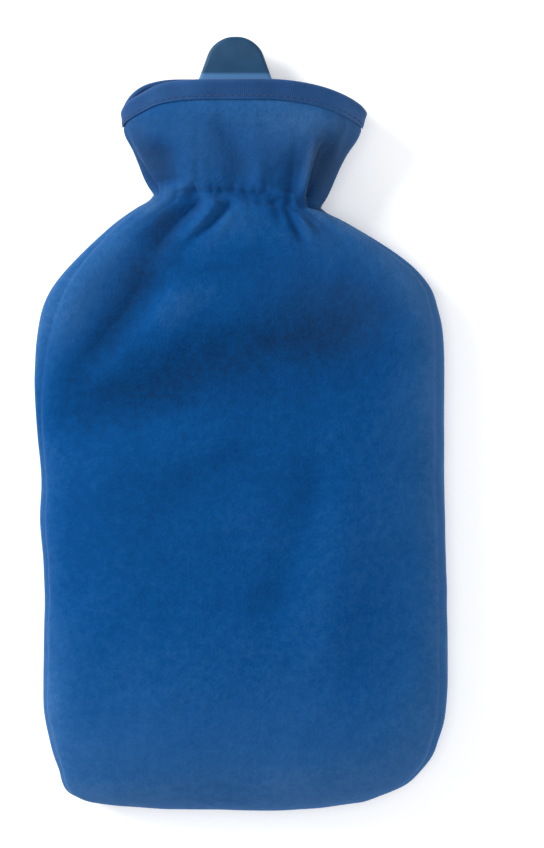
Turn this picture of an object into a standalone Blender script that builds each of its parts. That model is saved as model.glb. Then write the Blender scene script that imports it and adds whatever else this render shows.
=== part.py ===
"""A hot water bottle in its fleece cover, lying on its back.

Metres, +Z up. +Y runs from the closed bottom edge to the mouth of the collar, +X to the right as
seen from above. The origin is under the middle of the object's bounding box, on the surface that it
lies on. The sizes in the tables are in millimetres, with heights along the object counted from the
lowest point of its bottom seam.

The cover is a front and a back panel, sewn along both sides and the bottom, drawn in at the neck
and flared above it into a collar. A folded binding closes the raw edge of the mouth. The bottle
inside shows only by the rubber tab that stands out of the collar.
"""

import math
from collections import namedtuple

import bmesh
import bpy
from mathutils import Vector

MM = 0.001

# Driving dimensions, in mm
LENGTH = 376.0  # from the bottom seam to the top of the tab
CLOTH = 2.2  # thickness of the fleece
GAP = 0.6  # between neighbouring pieces, along the seams and round the binding
BINDING_CLOTH = 1.2
BINDING_LEG = 7.5  # how far the folded binding reaches down each side of the cloth
RIM_GAP = 1.0  # between the rim of the cloth and the fold of the binding over it

BOTTOM_ALONG = 4.0  # where the bottom seam leaves the corners; its middle bows down to 0
BOTTOM_BOW_FADE = 45.0  # the bow has died out this far above the bottom seam
BOTTOM_BOW_POWER = 1.5
BOTTOM_ROUNDING = 36.0  # length over which the filled body closes down to the bottom seam

NECK_ALONG = 295.6  # the gathered line at the sides, on average
NECK_SLANT = 3.1  # it is this much higher on the left and lower on the right
NECK_ARCH = 2.4  # and this much higher in the middle of each face
NECK_FADE = 26.0  # below the neck the slant and the arch have died out over this length

RIM_ALONG = 337.6  # the rim of the cloth at the sides
FRONT_RIM_ARCH = 14.8  # how much higher it is in the middle of the front
BACK_RIM_ARCH = 16.6  # and in the middle of the back
FRONT_RIM_FULLNESS = -0.15  # how early the rim's arch rises from the sides, on average
BACK_RIM_FULLNESS = 0.15
RIM_FULLNESS_SWING = 0.45  # how much earlier that is on the left than on average
RIM_CORNER_ROUNDING = 0.12  # how softly the rim turns at its lowest points, at the sides

FRONT_SQUARENESS = 2.4  # superellipse exponents of the front and the back half of a section
BACK_SQUARENESS = 3.4
COLLAR_SQUARENESS = 2.2

# A section across the cover. along: height on the side seam. left, right: half widths from the
# centre line. middle: height of the widest line above the floor. rise, sink: how far the front
# stands above it and the back below it, where what lies under the floor is pressed flat.
# seam_left, seam_right: degrees that each side seam is turned from the widest line to the front.
Section = namedtuple("Section", "along left right middle rise sink seam_left seam_right")

BODY_SECTIONS = [
    Section(BOTTOM_ALONG, 72.4, 58.7, 13.0, 24.0, 13.5, 0, 0),
    Section(8.0, 81.2, 69.0, 13.2, 24.0, 13.9, 4, 4),
    Section(12.9, 86.0, 78.9, 13.4, 24.0, 14.2, 7, 7),
    Section(20.1, 88.4, 86.8, 13.6, 24.2, 14.5, 9, 10),
    Section(27.4, 91.0, 92.4, 13.8, 24.4, 14.8, 10, 13),
    Section(34.7, 92.9, 95.6, 14.0, 24.6, 15.0, 10, 14),
    Section(44.4, 94.9, 98.2, 14.0, 25.0, 15.0, 10, 15),
    Section(56.0, 95.8, 99.5, 14.0, 25.5, 15.0, 10, 16),
    Section(75.0, 95.7, 100.0, 14.0, 26.0, 15.0, 10, 16),
    Section(98.0, 95.2, 99.5, 14.0, 26.5, 15.0, 10, 16),
    Section(122.0, 96.0, 99.0, 14.0, 26.5, 15.0, 10, 16),
    Section(141.5, 97.6, 98.5, 14.0, 26.5, 15.0, 10, 16),
    Section(162.0, 96.9, 98.3, 14.0, 26.5, 15.0, 10, 16),
    Section(182.0, 98.6, 98.2, 14.0, 26.0, 15.0, 11, 16),
    Section(202.0, 100.0, 98.2, 14.0, 25.5, 15.0, 14, 16),
    Section(219.2, 99.8, 98.2, 14.0, 25.0, 15.0, 18, 16),
    Section(233.7, 98.4, 97.3, 14.2, 24.5, 15.0, 22, 15),
    Section(244.5, 95.4, 95.0, 14.4, 23.8, 15.0, 24, 14),
    Section(254.0, 91.0, 91.6, 14.8, 23.0, 14.9, 24, 13),
    Section(263.5, 83.6, 84.0, 15.2, 22.0, 14.6, 22, 13),
    Section(273.0, 74.6, 71.8, 16.0, 20.8, 14.2, 18, 13),
    Section(282.3, 63.4, 58.2, 17.0, 19.3, 14.0, 13, 12),
    Section(289.6, 51.6, 46.4, 18.2, 17.6, 14.2, 9, 10),
    Section(292.6, 46.0, 41.2, 18.8, 16.6, 14.6, 8, 11),
    Section(NECK_ALONG, 42.9, 39.2, 19.2, 15.8, 15.0, 8, 12),
]
COLLAR_SECTIONS = [
    BODY_SECTIONS[-1],
    Section(305.5, 47.4, 44.3, 19.9, 16.9, 15.7, 8, 18),
    Section(317.0, 51.9, 50.0, 20.8, 18.2, 16.7, 9, 25),
    Section(328.0, 55.7, 56.2, 21.6, 19.3, 17.6, 10, 30),
    Section(RIM_ALONG, 57.3, 58.8, 22.3, 20.2, 18.6, 10, 33),
]

# A main fold of the front, as seen from above: a soft trough, or a ridge where its depth is under
# 0, from one end to the other. bow: how far its middle stands off to the left of that run.
Fold = namedtuple("Fold", "from_x from_y to_x to_y bow start_width end_width depth")

FRONT_FOLDS = {
    "shoulder_crease": Fold(-24.0, 297.0, -87.0, 213.0, 3.5, 8.0, 6.0, 3.4),
    "shoulder_roll": Fold(-42.0, 290.0, -92.0, 232.0, 3.0, 8.0, 8.0, -1.6),
    "neck_crease": Fold(-8.0, 296.0, -48.0, 262.0, -1.0, 6.0, 6.0, 1.8),
    "chest_hollow": Fold(-92.0, 196.0, 84.0, 240.0, -8.0, 24.0, 18.0, 2.4),
    "collar_side_fold": Fold(46.0, 340.0, 31.0, 297.0, 1.5, 6.5, 6.0, 2.4),
}
FOLD_END_SHARE = 0.18  # share of a fold's length over which each end fades in
FOLD_SIDE_FADE = 1.6  # folds die out towards the side seams, quicker when higher

# Mesh density
ROW_STEPS = {"closing": 8, "body": 15, "shoulder": 11, "collar": 4}
SHOULDER_ALONG = 222.0
FRONT_COLUMNS = 26
BACK_COLUMNS = 18
BINDING_FOLD_STEPS = 4

# The filled body of the bottle lies inside the cover by this inset at each height, and less deep
# than the cover's folds.
BodyRing = namedtuple("BodyRing", "along inset")

BOTTLE_BODY_RINGS = [
    BodyRing(7.5, 4.6),
    BodyRing(11.0, 4.9),
    BodyRing(17.0, 5.2),
    BodyRing(26.0, 5.4),
    BodyRing(40.0, 5.4),
    BodyRing(70.0, 5.4),
    BodyRing(120.0, 5.4),
    BodyRing(165.0, 5.4),
    BodyRing(190.0, 5.8),
    BodyRing(207.0, 6.6),
    BodyRing(222.0, 7.2),
    BodyRing(236.0, 7.2),
    BodyRing(248.0, 7.2),
    BodyRing(257.0, 7.4),
    BodyRing(264.0, 7.8),
]

# A section across its neck and lip: height along the object, half widths, lowest and highest line.
NeckRing = namedtuple("NeckRing", "along left right low high squareness")

BOTTLE_NECK_RINGS = [
    NeckRing(272.0, 58.0, 56.0, 6.8, 28.5, 2.2),
    NeckRing(281.0, 38.0, 34.0, 7.4, 29.0, 2.1),
    NeckRing(289.0, 27.0, 23.0, 7.8, 29.5, 2.0),
    NeckRing(304.0, 24.0, 19.5, 8.0, 30.0, 2.0),
    NeckRing(313.0, 24.0, 19.0, 8.2, 31.0, 2.1),
    NeckRing(323.0, 27.5, 21.5, 8.4, 31.0, 2.3),
    NeckRing(326.0, 26.5, 20.5, 9.0, 30.2, 2.3),
]
RING_POINTS = 32

TAB_CENTRE = -2.7
TAB_FOOT_ALONG = 318.0
TAB_TOP_WIDTH = 20.2
TAB_SPREAD = 0.72  # how much wider it grows for each mm down, as far as it shows
TAB_SPREAD_END = 24.0
TAB_ROUNDING = 8.3  # height of its rounded top
TAB_SQUARENESS = 2.4
TAB_LOW, TAB_HIGH = 10.0, 15.0
TAB_EDGE = 1.4  # rounding of its edges
TAB_POINTS = 8  # on each side of its rounded top

# Colours as linear red, green, blue and alpha
BLUE_FLEECE = (0.012, 0.070, 0.230, 1.0)
BLUE_BINDING = (0.016, 0.055, 0.170, 1.0)
TEAL_RUBBER = (0.018, 0.075, 0.140, 1.0)


def smooth_step(share):
    """0 to 1 with level ends."""
    share = min(max(share, 0.0), 1.0)
    return share * share * (3.0 - 2.0 * share)


def section_at(along):
    """The section at this height, on smooth curves through the rows of its table."""
    table = BODY_SECTIONS if along <= NECK_ALONG else COLLAR_SECTIONS
    last = len(table) - 2
    row = next((i for i in range(last) if table[i + 1].along >= along), last)
    low, high = table[row], table[row + 1]
    below, above = table[max(row - 1, 0)], table[min(row + 2, last + 1)]
    span = high.along - low.along
    t = (along - low.along) / span
    from_low, from_high = 2 * t**3 - 3 * t**2 + 1, 3 * t**2 - 2 * t**3
    from_low_slope, from_high_slope = (t**3 - 2 * t**2 + t) * span, (t**3 - t**2) * span
    values = []
    for column in range(len(low)):
        low_slope = (high[column] - below[column]) / (high.along - below.along)
        high_slope = (above[column] - low[column]) / (above.along - low.along)
        ends = from_low * low[column] + from_high * high[column]
        values.append(ends + from_low_slope * low_slope + from_high_slope * high_slope)
    return Section(*values)


def fold_depth(fold, x, y):
    """How deep this fold is at a point of the front."""
    run = Vector((fold.to_x - fold.from_x, fold.to_y - fold.from_y))
    offset = Vector((x - fold.from_x, y - fold.from_y))
    share = offset.dot(run) / run.length_squared
    if not 0.0 < share < 1.0:
        return 0.0
    aside = (run.x * offset.y - run.y * offset.x) / run.length
    aside -= 4.0 * fold.bow * share * (1.0 - share)
    width = fold.start_width + (fold.end_width - fold.start_width) * share
    ends = smooth_step(share / FOLD_END_SHARE) * smooth_step((1.0 - share) / FOLD_END_SHARE)
    return fold.depth * ends * math.exp(-((aside / width) ** 2))


def rim_rise(turn, height):
    """How much higher the rim stands than at the sides, towards this side of the collar."""
    side = math.hypot(height, RIM_CORNER_ROUNDING) - RIM_CORNER_ROUNDING
    side /= math.hypot(1.0, RIM_CORNER_ROUNDING) - RIM_CORNER_ROUNDING
    arch, fullness = BACK_RIM_ARCH, BACK_RIM_FULLNESS
    if height >= 0.0:
        arch, fullness = FRONT_RIM_ARCH, FRONT_RIM_FULLNESS
    fullness -= RIM_FULLNESS_SWING * turn
    return arch * side * (1.0 + fullness * (1.0 - side))


def cover_point(angle, along, inset=0.0, folded=True):
    """A point of the cover, as far inside its outer face as the inset, or outside it under 0.

    Angle 0 is the right side, 90 degrees the middle of the front. Without its folds the front is
    smooth.
    """
    section = section_at(along)
    turn, height = math.cos(angle), math.sin(angle)
    front = height >= 0.0
    neck = smooth_step((along - NECK_ALONG + NECK_FADE) / NECK_FADE)
    body_squareness = FRONT_SQUARENESS if front else BACK_SQUARENESS
    power = 2.0 / (body_squareness + (COLLAR_SQUARENESS - body_squareness) * neck)
    across = abs(turn) ** power
    half_width = section.right if turn >= 0.0 else section.left
    x = half_width * math.copysign(across, turn)

    up = min((along - BOTTOM_ALONG) / BOTTOM_ROUNDING, 1.0)
    closing = math.sqrt(1.0 - (1.0 - up) ** 2)
    bow = BOTTOM_ALONG * (1.0 - smooth_step((along - BOTTOM_ALONG) / BOTTOM_BOW_FADE))
    to_rim = smooth_step((along - NECK_ALONG) / (RIM_ALONG - NECK_ALONG))
    y = along - bow * (1.0 - across**BOTTOM_BOW_POWER)
    y += neck * (1.0 - to_rim) * (NECK_ARCH * abs(height) - NECK_SLANT * turn)
    y += to_rim * rim_rise(turn, height)

    lift = closing * abs(height) ** power
    if front:
        z = section.middle + (section.rise - inset) * lift
        if folded:
            folds = sum(fold_depth(fold, x, y) for fold in FRONT_FOLDS.values())
            z -= folds * min(1.0, FOLD_SIDE_FADE * lift)
    else:
        z = max(inset, section.middle - (section.sink - inset) * lift)
    return Vector((x - inset * math.copysign(across, turn), y + inset * (1.0 - up), z))


def in_object_frame(point):
    """The point in metres, counted from the middle of the object's length."""
    return (point - Vector((0.0, LENGTH / 2.0, 0.0))) * MM


def seam_angles(along):
    """The angles of the right and of the left side seam at this height."""
    section = section_at(along)
    return math.radians(section.seam_right), math.pi - math.radians(section.seam_left)


def half_gap_angle(angle, along):
    """The turn round the section that is half a gap wide."""
    step = 0.02
    run = cover_point(angle + step, along) - cover_point(angle - step, along)
    return GAP * step / run.length


def panel_angles(along, front):
    """The angles of a panel's columns at this height, half a gap short of both seams."""
    right, left = seam_angles(along)
    right_trim, left_trim = half_gap_angle(right, along), half_gap_angle(left, along)
    if front:
        start, end, columns = right + right_trim, left - left_trim, FRONT_COLUMNS
    else:
        start, end, columns = left + left_trim, 2.0 * math.pi + right - right_trim, BACK_COLUMNS
    return [start + (end - start) * column / columns for column in range(columns + 1)]


def panel_rows():
    """The heights of the mesh rows, close together where the bottom rounds off."""
    rounding_end = BOTTOM_ALONG + BOTTOM_ROUNDING
    closing_steps = ROW_STEPS["closing"]
    rows = [
        BOTTOM_ALONG + BOTTOM_ROUNDING * (1.0 - math.cos(math.pi / 2.0 * step / closing_steps))
        for step in range(closing_steps)
    ]
    spans = [
        (rounding_end, SHOULDER_ALONG, ROW_STEPS["body"]),
        (SHOULDER_ALONG, NECK_ALONG, ROW_STEPS["shoulder"]),
        (NECK_ALONG, RIM_ALONG - BINDING_LEG, ROW_STEPS["collar"]),
    ]
    for start, end, steps in spans:
        rows += [start + (end - start) * step / steps for step in range(steps)]
    return rows + [RIM_ALONG - BINDING_LEG, RIM_ALONG]


def point_faces_out(mesh):
    """Turn the faces the same way round, and then outwards by the sign of the volume."""
    bmesh.ops.recalc_face_normals(mesh, faces=mesh.faces)
    if mesh.calc_volume(signed=True) < 0.0:
        bmesh.ops.reverse_faces(mesh, faces=mesh.faces)


def finish_object(name, mesh, material):
    """The mesh as a named object, with its faces pointing out and shaded smooth."""
    point_faces_out(mesh)
    data = bpy.data.meshes.new(name)
    mesh.to_mesh(data)
    mesh.free()
    data.materials.append(material)
    data.shade_smooth()
    data.set_sharp_from_angle(angle=math.radians(50))
    shape = bpy.data.objects.new(name, data)
    bpy.context.scene.collection.objects.link(shape)
    return shape


def shell_from_grids(name, outer, inner, material):
    """One closed solid between two grids of points, rows by columns, joined round their border."""
    mesh = bmesh.new()
    outer = [[mesh.verts.new(point) for point in row] for row in outer]
    inner = [[mesh.verts.new(point) for point in row] for row in inner]
    rows, columns = len(outer), len(outer[0])
    for grid in (outer, inner):
        for row, next_row in zip(grid, grid[1:]):
            for c in range(columns - 1):
                mesh.faces.new((row[c], row[c + 1], next_row[c + 1], next_row[c]))
    border = [(0, c) for c in range(columns - 1)]
    border += [(r, columns - 1) for r in range(rows - 1)]
    border += [(rows - 1, c) for c in range(columns - 1, 0, -1)]
    border += [(r, 0) for r in range(rows - 1, 0, -1)]
    for (r, c), (next_r, next_c) in zip(border, border[1:] + border[:1]):
        mesh.faces.new((outer[r][c], inner[r][c], inner[next_r][next_c], outer[next_r][next_c]))
    return finish_object(name, mesh, material)


def make_panel(name, front, material):
    """The front or the back panel, from the bottom seam to the mouth."""
    outer, inner = [], []
    for along in panel_rows():
        angles = panel_angles(along, front)
        outer.append([in_object_frame(cover_point(angle, along)) for angle in angles])
        inner.append([in_object_frame(cover_point(angle, along, CLOTH)) for angle in angles])
    apart = Vector((0.0, 0.0, GAP / 2.0 if front else -GAP / 2.0)) * MM
    for grid in (outer, inner):
        grid[0] = [point + apart for point in grid[0]]
    return shell_from_grids(name, outer, inner, material)


def binding_profile():
    """The binding's closed section, as (height above the rim, inset) from its outer leg inwards."""
    outside, inside = -GAP - BINDING_CLOTH, CLOTH + GAP + BINDING_CLOTH
    middle, top = CLOTH / 2.0, RIM_GAP + BINDING_CLOTH
    profile = [(-BINDING_LEG, outside), (0.0, outside)]
    for step in range(1, BINDING_FOLD_STEPS):
        turn = math.pi * step / BINDING_FOLD_STEPS
        profile.append((top * math.sin(turn), middle + (outside - middle) * math.cos(turn)))
    profile += [(0.0, inside), (-BINDING_LEG, inside)]
    profile += [(-BINDING_LEG, inside - BINDING_CLOTH), (0.0, inside - BINDING_CLOTH)]
    profile += [(RIM_GAP, CLOTH), (RIM_GAP, 0.0), (0.0, -GAP), (-BINDING_LEG, -GAP)]
    return profile


def make_binding(material):
    """The binding: a strip folded over the raw edge of the mouth, inside and out, in one ring."""
    mesh = bmesh.new()
    lines = []
    for above, inset in binding_profile():
        along, past = RIM_ALONG + min(above, 0.0), Vector((0.0, max(above, 0.0), 0.0))
        angles = panel_angles(along, True)[:-1] + panel_angles(along, False)[:-1]
        points = [in_object_frame(cover_point(angle, along, inset) + past) for angle in angles]
        lines.append([mesh.verts.new(point) for point in points])
    for line, following in zip(lines, lines[1:] + lines[:1]):
        for p in range(len(line)):
            q = (p + 1) % len(line)
            mesh.faces.new((line[p], line[q], following[q], following[p]))
    return finish_object("mouth_binding", mesh, material)


def neck_point(ring, angle):
    """A point of one of the sections of the bottle's neck."""
    turn, height = math.cos(angle), math.sin(angle)
    power = 2.0 / ring.squareness
    middle, half_height = (ring.low + ring.high) / 2.0, (ring.high - ring.low) / 2.0
    x = (ring.right if turn >= 0.0 else ring.left) * math.copysign(abs(turn) ** power, turn)
    return Vector((x, ring.along, middle + half_height * math.copysign(abs(height) ** power, height)))


def make_bottle_body(material):
    """The filled body, the neck and the lip of the bottle, bridged from section to section."""
    mesh = bmesh.new()
    loops = []
    angles = [2.0 * math.pi * p / RING_POINTS for p in range(RING_POINTS)]
    sections = [
        [cover_point(angle, ring.along, ring.inset, folded=False) for angle in angles]
        for ring in BOTTLE_BODY_RINGS
    ]
    sections += [[neck_point(ring, angle) for angle in angles] for ring in BOTTLE_NECK_RINGS]
    for section in sections:
        points = [mesh.verts.new(in_object_frame(point)) for point in section]
        loops.append([mesh.edges.new((a, b)) for a, b in zip(points, points[1:] + points[:1])])
    for loop, following in zip(loops, loops[1:]):
        bmesh.ops.bridge_loops(mesh, edges=loop + following)
    for loop in (loops[0], loops[-1]):
        bmesh.ops.contextual_create(mesh, geom=loop)
    return finish_object("bottle", mesh, material)


def tab_half_width(down):
    """Half the tab's width at this depth under its top."""
    below_rounding = max(1.0 - down / TAB_ROUNDING, 0.0)
    rounding = (1.0 - below_rounding**TAB_SQUARENESS) ** (1.0 / TAB_SQUARENESS)
    return (TAB_TOP_WIDTH + TAB_SPREAD * min(down, TAB_SPREAD_END)) / 2.0 * rounding


def tab_outline():
    """The tab's outline, from its right foot over its rounded top to its left foot."""
    downs = [LENGTH - TAB_FOOT_ALONG, TAB_SPREAD_END]
    for point in range(TAB_POINTS, 0, -1):
        downs.append(TAB_ROUNDING * (1.0 - math.cos(math.pi / 2.0 * point / TAB_POINTS)))
    right = [(TAB_CENTRE + tab_half_width(down), LENGTH - down) for down in downs]
    left = [(2.0 * TAB_CENTRE - x, along) for x, along in reversed(right)]
    return right + [(TAB_CENTRE, LENGTH)] + left


def make_tab():
    """The flat rubber tab, as an extruded outline with rounded edges."""
    mesh = bmesh.new()
    corners = [in_object_frame(Vector((x, along, TAB_LOW))) for x, along in tab_outline()]
    face = mesh.faces.new([mesh.verts.new(corner) for corner in corners])
    raised = bmesh.ops.extrude_face_region(mesh, geom=[face])["geom"]
    raised_points = [item for item in raised if isinstance(item, bmesh.types.BMVert)]
    bmesh.ops.translate(mesh, verts=raised_points, vec=Vector((0.0, 0.0, (TAB_HIGH - TAB_LOW) * MM)))
    rims = [edge for edge in mesh.edges if abs(edge.verts[0].co.z - edge.verts[1].co.z) < 1e-6]
    bmesh.ops.bevel(mesh, geom=rims, offset=TAB_EDGE * MM, segments=2, profile=0.5, affect="EDGES")
    point_faces_out(mesh)
    data = bpy.data.meshes.new("tab")
    mesh.to_mesh(data)
    mesh.free()
    tab = bpy.data.objects.new("tab", data)
    bpy.context.scene.collection.objects.link(tab)
    tab.hide_render = True
    tab.display_type = "WIRE"
    return tab


def make_bottle(material):
    """The bottle and its tab, in one rubber piece."""
    bottle = make_bottle_body(material)
    union = bottle.modifiers.new("tab", "BOOLEAN")
    union.operation = "UNION"
    union.object = make_tab()
    return bottle


def make_material(name, colour, roughness):
    """A plain material of this colour."""
    material = bpy.data.materials.new(name)
    material.use_nodes = True
    shader = material.node_tree.nodes["Principled BSDF"]
    shader.inputs["Base Color"].default_value = colour
    shader.inputs["Roughness"].default_value = roughness
    return material


def main():
    for old in list(bpy.data.objects):
        bpy.data.objects.remove(old)
    fleece = make_material("fleece", BLUE_FLEECE, 0.95)
    make_panel("front_panel", True, fleece)
    make_panel("back_panel", False, fleece)
    make_binding(make_material("binding", BLUE_BINDING, 0.85))
    make_bottle(make_material("rubber", TEAL_RUBBER, 0.5))


main()
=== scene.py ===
"""The looks of a hot water bottle in its fleece cover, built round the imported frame.

The cover lies on its back on a pale floor, and the camera looks straight down on its front. +Y runs
from the closed bottom edge to the mouth of the collar, +X to the right as seen from above. Sizes of
the cloth are in millimetres, with heights along the object counted from the lowest point of the
bottom seam. They become metres of the frame when a mesh is made.

FleecePanel makes the front and the back of the cover, MouthBinding the folded strip round its mouth
with the stitches that hold it, RubberBottle the bottle with its tab, and Studio the floor, the
lights and the camera.
"""

import logging
import math
from dataclasses import dataclass
from enum import Enum
from typing import Callable, NamedTuple, Sequence

import bmesh
import bpy
import numpy as np
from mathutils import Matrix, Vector


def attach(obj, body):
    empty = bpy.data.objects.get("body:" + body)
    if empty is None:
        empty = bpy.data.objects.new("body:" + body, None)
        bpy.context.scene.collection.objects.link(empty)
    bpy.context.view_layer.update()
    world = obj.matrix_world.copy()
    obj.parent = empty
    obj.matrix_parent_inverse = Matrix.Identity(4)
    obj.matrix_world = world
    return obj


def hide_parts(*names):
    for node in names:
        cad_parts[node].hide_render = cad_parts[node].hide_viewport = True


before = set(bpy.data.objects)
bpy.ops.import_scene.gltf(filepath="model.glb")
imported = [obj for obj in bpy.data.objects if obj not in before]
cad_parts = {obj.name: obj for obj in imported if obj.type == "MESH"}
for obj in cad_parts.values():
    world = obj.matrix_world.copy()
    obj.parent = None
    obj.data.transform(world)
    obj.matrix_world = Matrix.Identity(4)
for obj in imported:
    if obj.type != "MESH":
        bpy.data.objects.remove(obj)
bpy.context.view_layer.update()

LOG = logging.getLogger("bottle_cover")
MM = 0.001
BODY = "root"

Colour = tuple[float, float, float, float]
Element = bmesh.types.BMFace | bmesh.types.BMEdge


def smooth_step(share: np.ndarray) -> np.ndarray:
    """0 to 1 with level ends."""
    share = np.clip(share, 0.0, 1.0)
    return share * share * (3.0 - 2.0 * share)


def curve_through(keys: np.ndarray, rows: np.ndarray, at: np.ndarray) -> np.ndarray:
    """Reads a table on smooth curves through its rows.

    Args:
        keys: The rising value that each row belongs to.
        rows: The rows, one value in each column.
        at: Where the table is read.

    Returns:
        A row of values for each place, in the last axis.
    """
    slopes = np.empty_like(rows)
    slopes[1:-1] = (rows[2:] - rows[:-2]) / (keys[2:] - keys[:-2])[:, None]
    slopes[0] = (rows[1] - rows[0]) / (keys[1] - keys[0])
    slopes[-1] = (rows[-1] - rows[-2]) / (keys[-1] - keys[-2])
    low = np.clip(np.searchsorted(keys, at) - 1, 0, len(keys) - 2)
    span = (keys[low + 1] - keys[low])[..., None]
    t = (at - keys[low])[..., None] / span
    values = (2 * t**3 - 3 * t**2 + 1) * rows[low] + (3 * t**2 - 2 * t**3) * rows[low + 1]
    return values + span * ((t**3 - 2 * t**2 + t) * slopes[low] + (t**3 - t**2) * slopes[low + 1])


def run_length(points: np.ndarray, axis: int) -> np.ndarray:
    """The distance gone along one axis of a grid of points, counted from its first line.

    Args:
        points: The grid, with the coordinates in its last axis.
        axis: The axis to go along.

    Returns:
        The distance at each point.
    """
    steps = np.linalg.norm(np.diff(points, axis=axis), axis=-1)
    start = np.zeros_like(np.take(steps, [0], axis=axis))
    return np.concatenate([start, np.cumsum(steps, axis=axis)], axis=axis)


# --- The form of the cover -----------------------------------------------------------------------


class Section(NamedTuple):
    """A section across the cover, in mm and degrees.

    along is its height on the side seam, left and right are half widths from the centre line, and
    middle is the height of the widest line above the floor. The front stands above that by rise and
    the back below it by sink. seam_left and seam_right say how far each side seam is turned from the
    widest line towards the front.
    """

    along: float
    left: float
    right: float
    middle: float
    rise: float
    sink: float
    seam_left: float
    seam_right: float


BODY_SECTIONS = (
    Section(4, 75, 60.3, 13, 24, 13.5, 2, 2),
    Section(8, 83.2, 70.6, 13.2, 24, 13.9, 4, 4),
    Section(12.9, 86.6, 80.4, 13.4, 24, 14.2, 7, 7),
    Section(20.1, 88.4, 87.7, 13.6, 24.2, 14.5, 9, 10),
    Section(27.4, 91, 92.8, 13.8, 24.4, 14.8, 10, 13),
    Section(34.7, 92.9, 95.6, 14, 24.6, 15, 10, 14),
    Section(44.4, 94.9, 98.6, 14, 25, 15, 10, 15),
    Section(56, 95.8, 99.9, 14, 25.5, 15, 10, 16),
    Section(75, 95.7, 100.4, 14, 26, 15, 10, 16),
    Section(98, 95.2, 99.9, 14, 26.5, 15, 10, 16),
    Section(122, 96, 99.4, 14, 26.5, 15, 10, 16),
    Section(141.5, 97.6, 98.9, 14, 26.5, 15, 10, 16),
    Section(162, 96.9, 98.7, 14, 26.5, 15, 10, 16),
    Section(182, 98.6, 98.6, 14, 26, 15, 11, 16),
    Section(202, 100, 98.6, 14, 25.5, 15, 14, 16),
    Section(219.2, 99.8, 98.6, 14, 25, 15, 18, 16),
    Section(233.7, 98.4, 97.7, 14.2, 24.5, 15, 22, 15),
    Section(244.5, 95.4, 95.4, 14.4, 23.8, 15, 24, 14),
    Section(254, 91, 92, 14.8, 23, 14.9, 24, 13),
    Section(263.5, 83.6, 84, 15.2, 22, 14.6, 22, 13),
    Section(273, 74.6, 71.8, 16, 20.8, 14.2, 18, 13),
    Section(282.3, 62.6, 58.8, 17, 19.3, 14, 13, 12),
    Section(289.6, 50.3, 47.8, 18.2, 17.6, 14.2, 9, 10),
    Section(292.6, 44.8, 42.4, 18.8, 16.6, 14.6, 8, 11),
    Section(295.6, 42.5, 39.8, 19.2, 15.8, 15, 8, 12),
)
COLLAR_SECTIONS = (
    BODY_SECTIONS[-1],
    Section(305.5, 47.4, 44.3, 19.9, 16.9, 15.7, 8, 18),
    Section(317, 51.9, 50, 20.8, 18.2, 16.7, 9, 25),
    Section(328, 55.9, 57, 21.6, 19.3, 17.6, 10, 30),
    Section(337.6, 57.6, 60.6, 22.3, 20.2, 18.6, 10, 33),
)


@dataclass(frozen=True)
class Crease:
    """A soft trough in the cloth, or a ridge where its depth is under 0, on a smooth line.

    The line's points are x and height along the object, as seen from above. left and right say how
    far its slopes reach on either side of the line as it runs, at its end, and start_width is the
    share of that at its start. A sharpness of 2 gives a slope a round bottom, near 1 it is a narrow
    crease, and above 2 the bottom is flat and the slope steep. right_sharpness is the right slope's
    own, where it has one. The fades are the shares of the line on which its ends run out, and spacing
    is the length of the steps in which the line is followed.
    """

    line: tuple[tuple[float, float], ...]
    depth: float
    left: float
    right: float
    sharpness: float = 2.0
    right_sharpness: float | None = None
    start_width: float = 1.0
    start_fade: float = 0.25
    end_fade: float = 0.25
    spacing: float = 1.5

    def depth_at(self, x: np.ndarray, along: np.ndarray) -> np.ndarray:
        """How deep this crease is at points seen from above.

        Args:
            x: The points' x, in mm.
            along: The points' height along the object, in mm.

        Returns:
            The depth in mm at each point.
        """
        given = np.array(self.line, float)
        run = run_length(given, 0)
        at = np.linspace(0.0, run[-1], max(int(run[-1] / self.spacing), 2))
        line = curve_through(run, given, at)
        heading = np.gradient(line, axis=0)
        heading /= np.linalg.norm(heading, axis=1)[:, None]
        nearest = np.full(x.shape, np.inf)
        aside, gone = np.zeros(x.shape), np.zeros(x.shape)
        for place, (ahead_x, ahead_y), start in zip(line, heading, at):
            off_x, off_y = x - place[0], along - place[1]
            distance = off_x**2 + off_y**2
            closer = distance < nearest
            nearest = np.where(closer, distance, nearest)
            aside = np.where(closer, ahead_x * off_y - ahead_y * off_x, aside)
            gone = np.where(closer, start + ahead_x * off_x + ahead_y * off_y, gone)
        share = gone / run[-1]
        on_left = aside > 0.0
        width = self.start_width + (1.0 - self.start_width) * np.clip(share, 0.0, 1.0)
        reach = np.where(on_left, self.left, self.right) * width
        sharpness = np.where(on_left, self.sharpness, self.right_sharpness or self.sharpness)
        ends = smooth_step(share / self.start_fade) * smooth_step((1.0 - share) / self.end_fade)
        return self.depth * np.exp(-((np.abs(aside) / reach) ** sharpness)) * ends


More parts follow.
